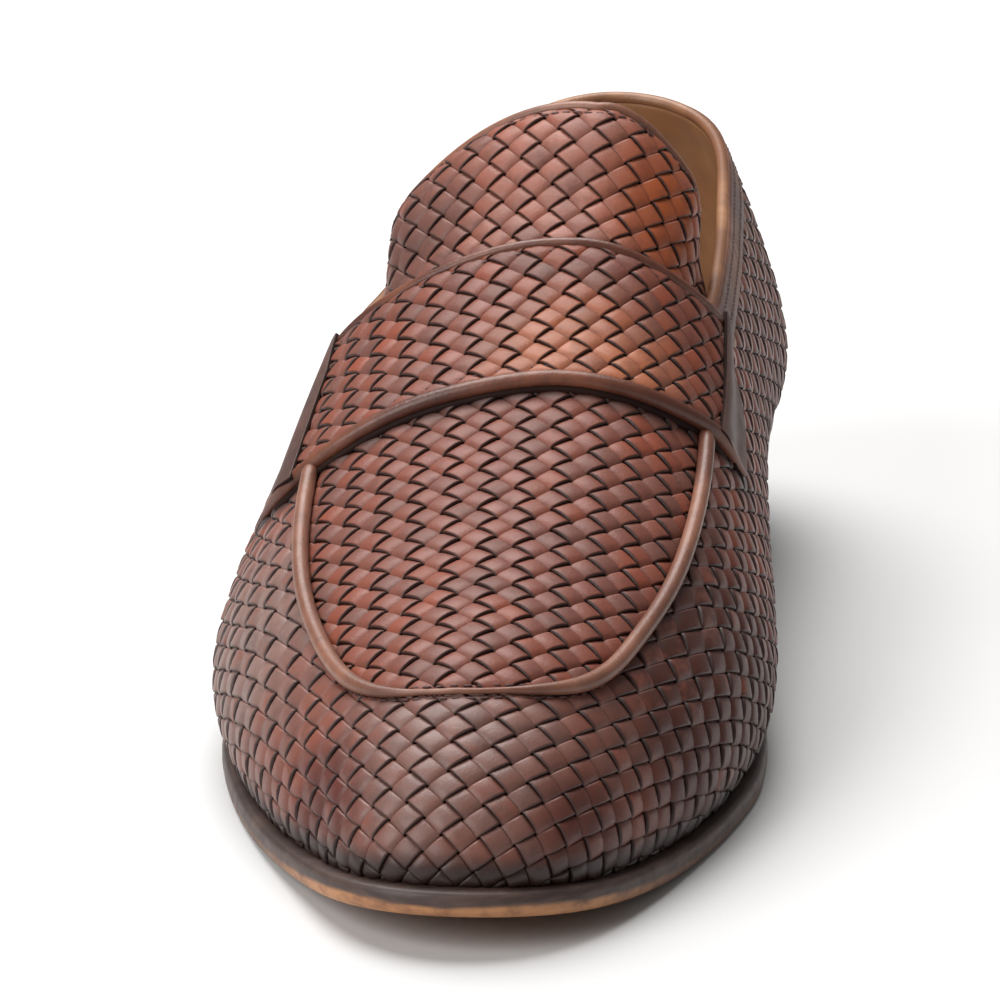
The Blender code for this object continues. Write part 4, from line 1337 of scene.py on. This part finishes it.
def makeTongue():
    outer = tongueGrid(*tongueShape["baseGrid"], -tongueShape["baseDrop"])
    inner = tongueGrid(*tongueShape["baseGrid"], -tongueShape["thick"])
    base = slab("tongueBase", outer, inner, [underFinish, liningFinish, cordFinish])
    middle = -tongueShape["thick"] / 2 + tongueShape["bindingLift"]
    edge = tongueOutline(tongueShape["bindingGrow"], middle)
    lift = tongueShape["stitchLift"]
    seam = tongueOutline(0.0, lift, *tongueShape["stitchInset"])
    facing = unit(tongueOutline(0.0, lift + 1.0, *tongueShape["stitchInset"]) - seam)
    rows = [base, cord("tongueBinding", edge, tongueShape["binding"], cordFinish),
            stitches("tongueStitch", seam, facing, tongueShape["stitchPitch"], tongueShape["stitchSeed"])]
    settle(join("tongueBody", rows), "tongue", "tongue")
    grid = tongueGrid(*tongueShape["weaveGrid"], -tongueShape["weaveDrop"])
    border = np.concatenate([grid[:, 0], grid[-1], grid[:, -1]])
    shadow = strapLine(0.0, 0.0, True)[0]
    ridge = grid[:, grid.shape[1] // 2]
    piece = weave("tongueWeave", grid, border, shadow, (ridge[0], ridge[-1]), tongueFinish,
                  tongueShape["seed"])
    return settle(piece, "tongue")


makeTongue()

# collar strip with its two stitch rows, bound rim and back strip
collarShape = {
    "outer": 0.6, "inner": -0.7, "levels": 8,
    "rim": 1.35, "rimBelow": 0.2, "rimSeat": -1.0, "rimSpacing": 1.2,
    "stitchRows": (3.0, 6.6), "stitchPitch": 2.3, "stitchSeed": 17,
}
backShape = {
    "width": 11.0, "heelRadius": 28.0, "outer": 1.05, "inner": -0.7, "lap": 1.0, "rows": 25, "columns": 9,
    "stitchColumns": (1, 7), "stitchPitch": 2.3, "stitchSeed": 19,
}


def collarLine(below, height, count=241):
    first = math.radians(upperShape["collarFront"])
    angle = np.linspace(first, 2 * math.pi - first, count)
    rise = riseFurther(angle, collarRise(angle), -below)
    return overLast(angle, rise, height), lastNormal(angle, rise)


def makeCollar():
    levels = np.linspace(upperShape["collarStrip"], 0.0, collarShape["levels"])
    outer, inner = (np.array([collarLine(level, collarShape[face])[0] for level in levels])
                    for face in ("outer", "inner"))
    rimPath = collarLine(collarShape["rimBelow"], collarShape["rimSeat"])[0]
    rows = [slab("collarBand", outer, inner, [bandFinish, underFinish, bandFinish]),
            cord("collarRim", rimPath, collarShape["rim"], bindingFinish, collarShape["rimSpacing"])]
    for below in collarShape["stitchRows"]:
        path, facing = collarLine(below, collarShape["outer"])
        rows.append(stitches("collarStitch", path, facing, collarShape["stitchPitch"],
                             collarShape["stitchSeed"]))
    return settle(join("collarBinding", rows), "upper")


def makeBackStrip():
    shape = (backShape["rows"], backShape["columns"])
    middle = float(collarRise(np.array([math.pi]))[0])
    top = riseFurther(np.array(math.pi), np.array(middle), -(upperShape["collarStrip"] - backShape["lap"]))
    spread = backShape["width"] / 2 / backShape["heelRadius"]
    angle = np.broadcast_to(math.pi + np.linspace(-1, 1, shape[1]) * spread, shape)
    rise = np.broadcast_to(np.linspace(0.0, 1.0, shape[0])[:, None] * top, shape)
    outer = overLast(angle, rise, backShape["outer"])
    inner = overLast(angle, rise, backShape["inner"])
    rows = [slab("backBand", outer, inner, [bandFinish, underFinish, bandFinish])]
    for side in backShape["stitchColumns"]:
        facing = lastNormal(angle[:, side], rise[:, side])
        rows.append(stitches("backStitch", outer[:, side], facing, backShape["stitchPitch"],
                             backShape["stitchSeed"]))
    return settle(join("backStrip", rows), "upper")


makeCollar()
makeBackStrip()
for helper in (tileObject, stitchObject):
    bpy.data.objects.remove(helper)

# floor, light and camera
stageLook = {
    "floor": 6.0, "pale": (0.66, 0.66, 0.66), "cloud": (0.63, 0.63, 0.63), "cloudScale": 3.0,
    "cloudFade": (0.3, 0.7), "roughness": 0.85, "specular": 0.2, "world": (1.0, 1.0, 1.0),
    "worldStrength": 0.18, "lightTarget": (0.0, 0.0, 0.05),
}
lights = {  # place, size, power, colour
    "key": ((-0.35, 0.55, 1.5), 1.5, 43.0, (1.0, 0.99, 0.98)),
    "front": ((-1.05, -1.15, 1.05), 1.3, 25.0, (1.0, 1.0, 1.0)),
    "fill": ((1.3, -0.8, 0.9), 1.2, 0.6, (1.0, 0.97, 0.94)),
}
cameraLook = {"place": (0.1929, -1.2847, 0.465), "target": (0.0028, -0.045, 0.0558), "lens": 240.0,
              "sensor": 36.0, "clip": 0.05}


def makeStage():
    half = stageLook["floor"] / 2
    mesh = bpy.data.meshes.new("floor")
    corners = [(-half, -half, 0), (half, -half, 0), (half, half, 0), (-half, half, 0)]
    mesh.from_pydata(corners, [], [(0, 1, 2, 3)])
    floor = linkObject("floor", mesh)
    material, tree, shader, place = startFinish("paleFloor")
    clouds = fade(tree, noise(tree, place, stageLook["cloudScale"]), *stageLook["cloudFade"])
    colour = blend(tree, clouds, stageLook["pale"], stageLook["cloud"])
    tree.links.new(colour.socket, shader.inputs["Base Color"])
    shader.inputs["Roughness"].default_value = stageLook["roughness"]
    shader.inputs["Specular IOR Level"].default_value = stageLook["specular"]
    mesh.materials.append(material)
    world = bpy.data.worlds.new("studio")
    world.use_nodes = True
    background = world.node_tree.nodes["Background"]
    background.inputs["Color"].default_value = (*stageLook["world"], 1.0)
    background.inputs["Strength"].default_value = stageLook["worldStrength"]
    bpy.context.scene.world = world
    bpy.context.scene.view_settings.view_transform = "Standard"


def aim(thing, place, target):
    thing.location = place
    thing.rotation_euler = (Vector(target) - Vector(place)).to_track_quat("-Z", "Y").to_euler()


def makeLights():
    for name, (place, size, power, colour) in lights.items():
        lamp = bpy.data.lights.new(name, "AREA")
        lamp.shape = "DISK"
        lamp.size = size
        lamp.energy = power
        lamp.color = colour
        aim(linkObject(name, lamp), place, stageLook["lightTarget"])


def makeCamera():
    camera = bpy.data.cameras.new("camera")
    camera.lens = cameraLook["lens"]
    camera.sensor_width = cameraLook["sensor"]
    camera.clip_start = cameraLook["clip"]
    view = linkObject("camera", camera)
    aim(view, cameraLook["place"], cameraLook["target"])
    bpy.context.scene.camera = view


makeStage()
makeLights()
makeCamera()
bpy.context.view_layer.update()
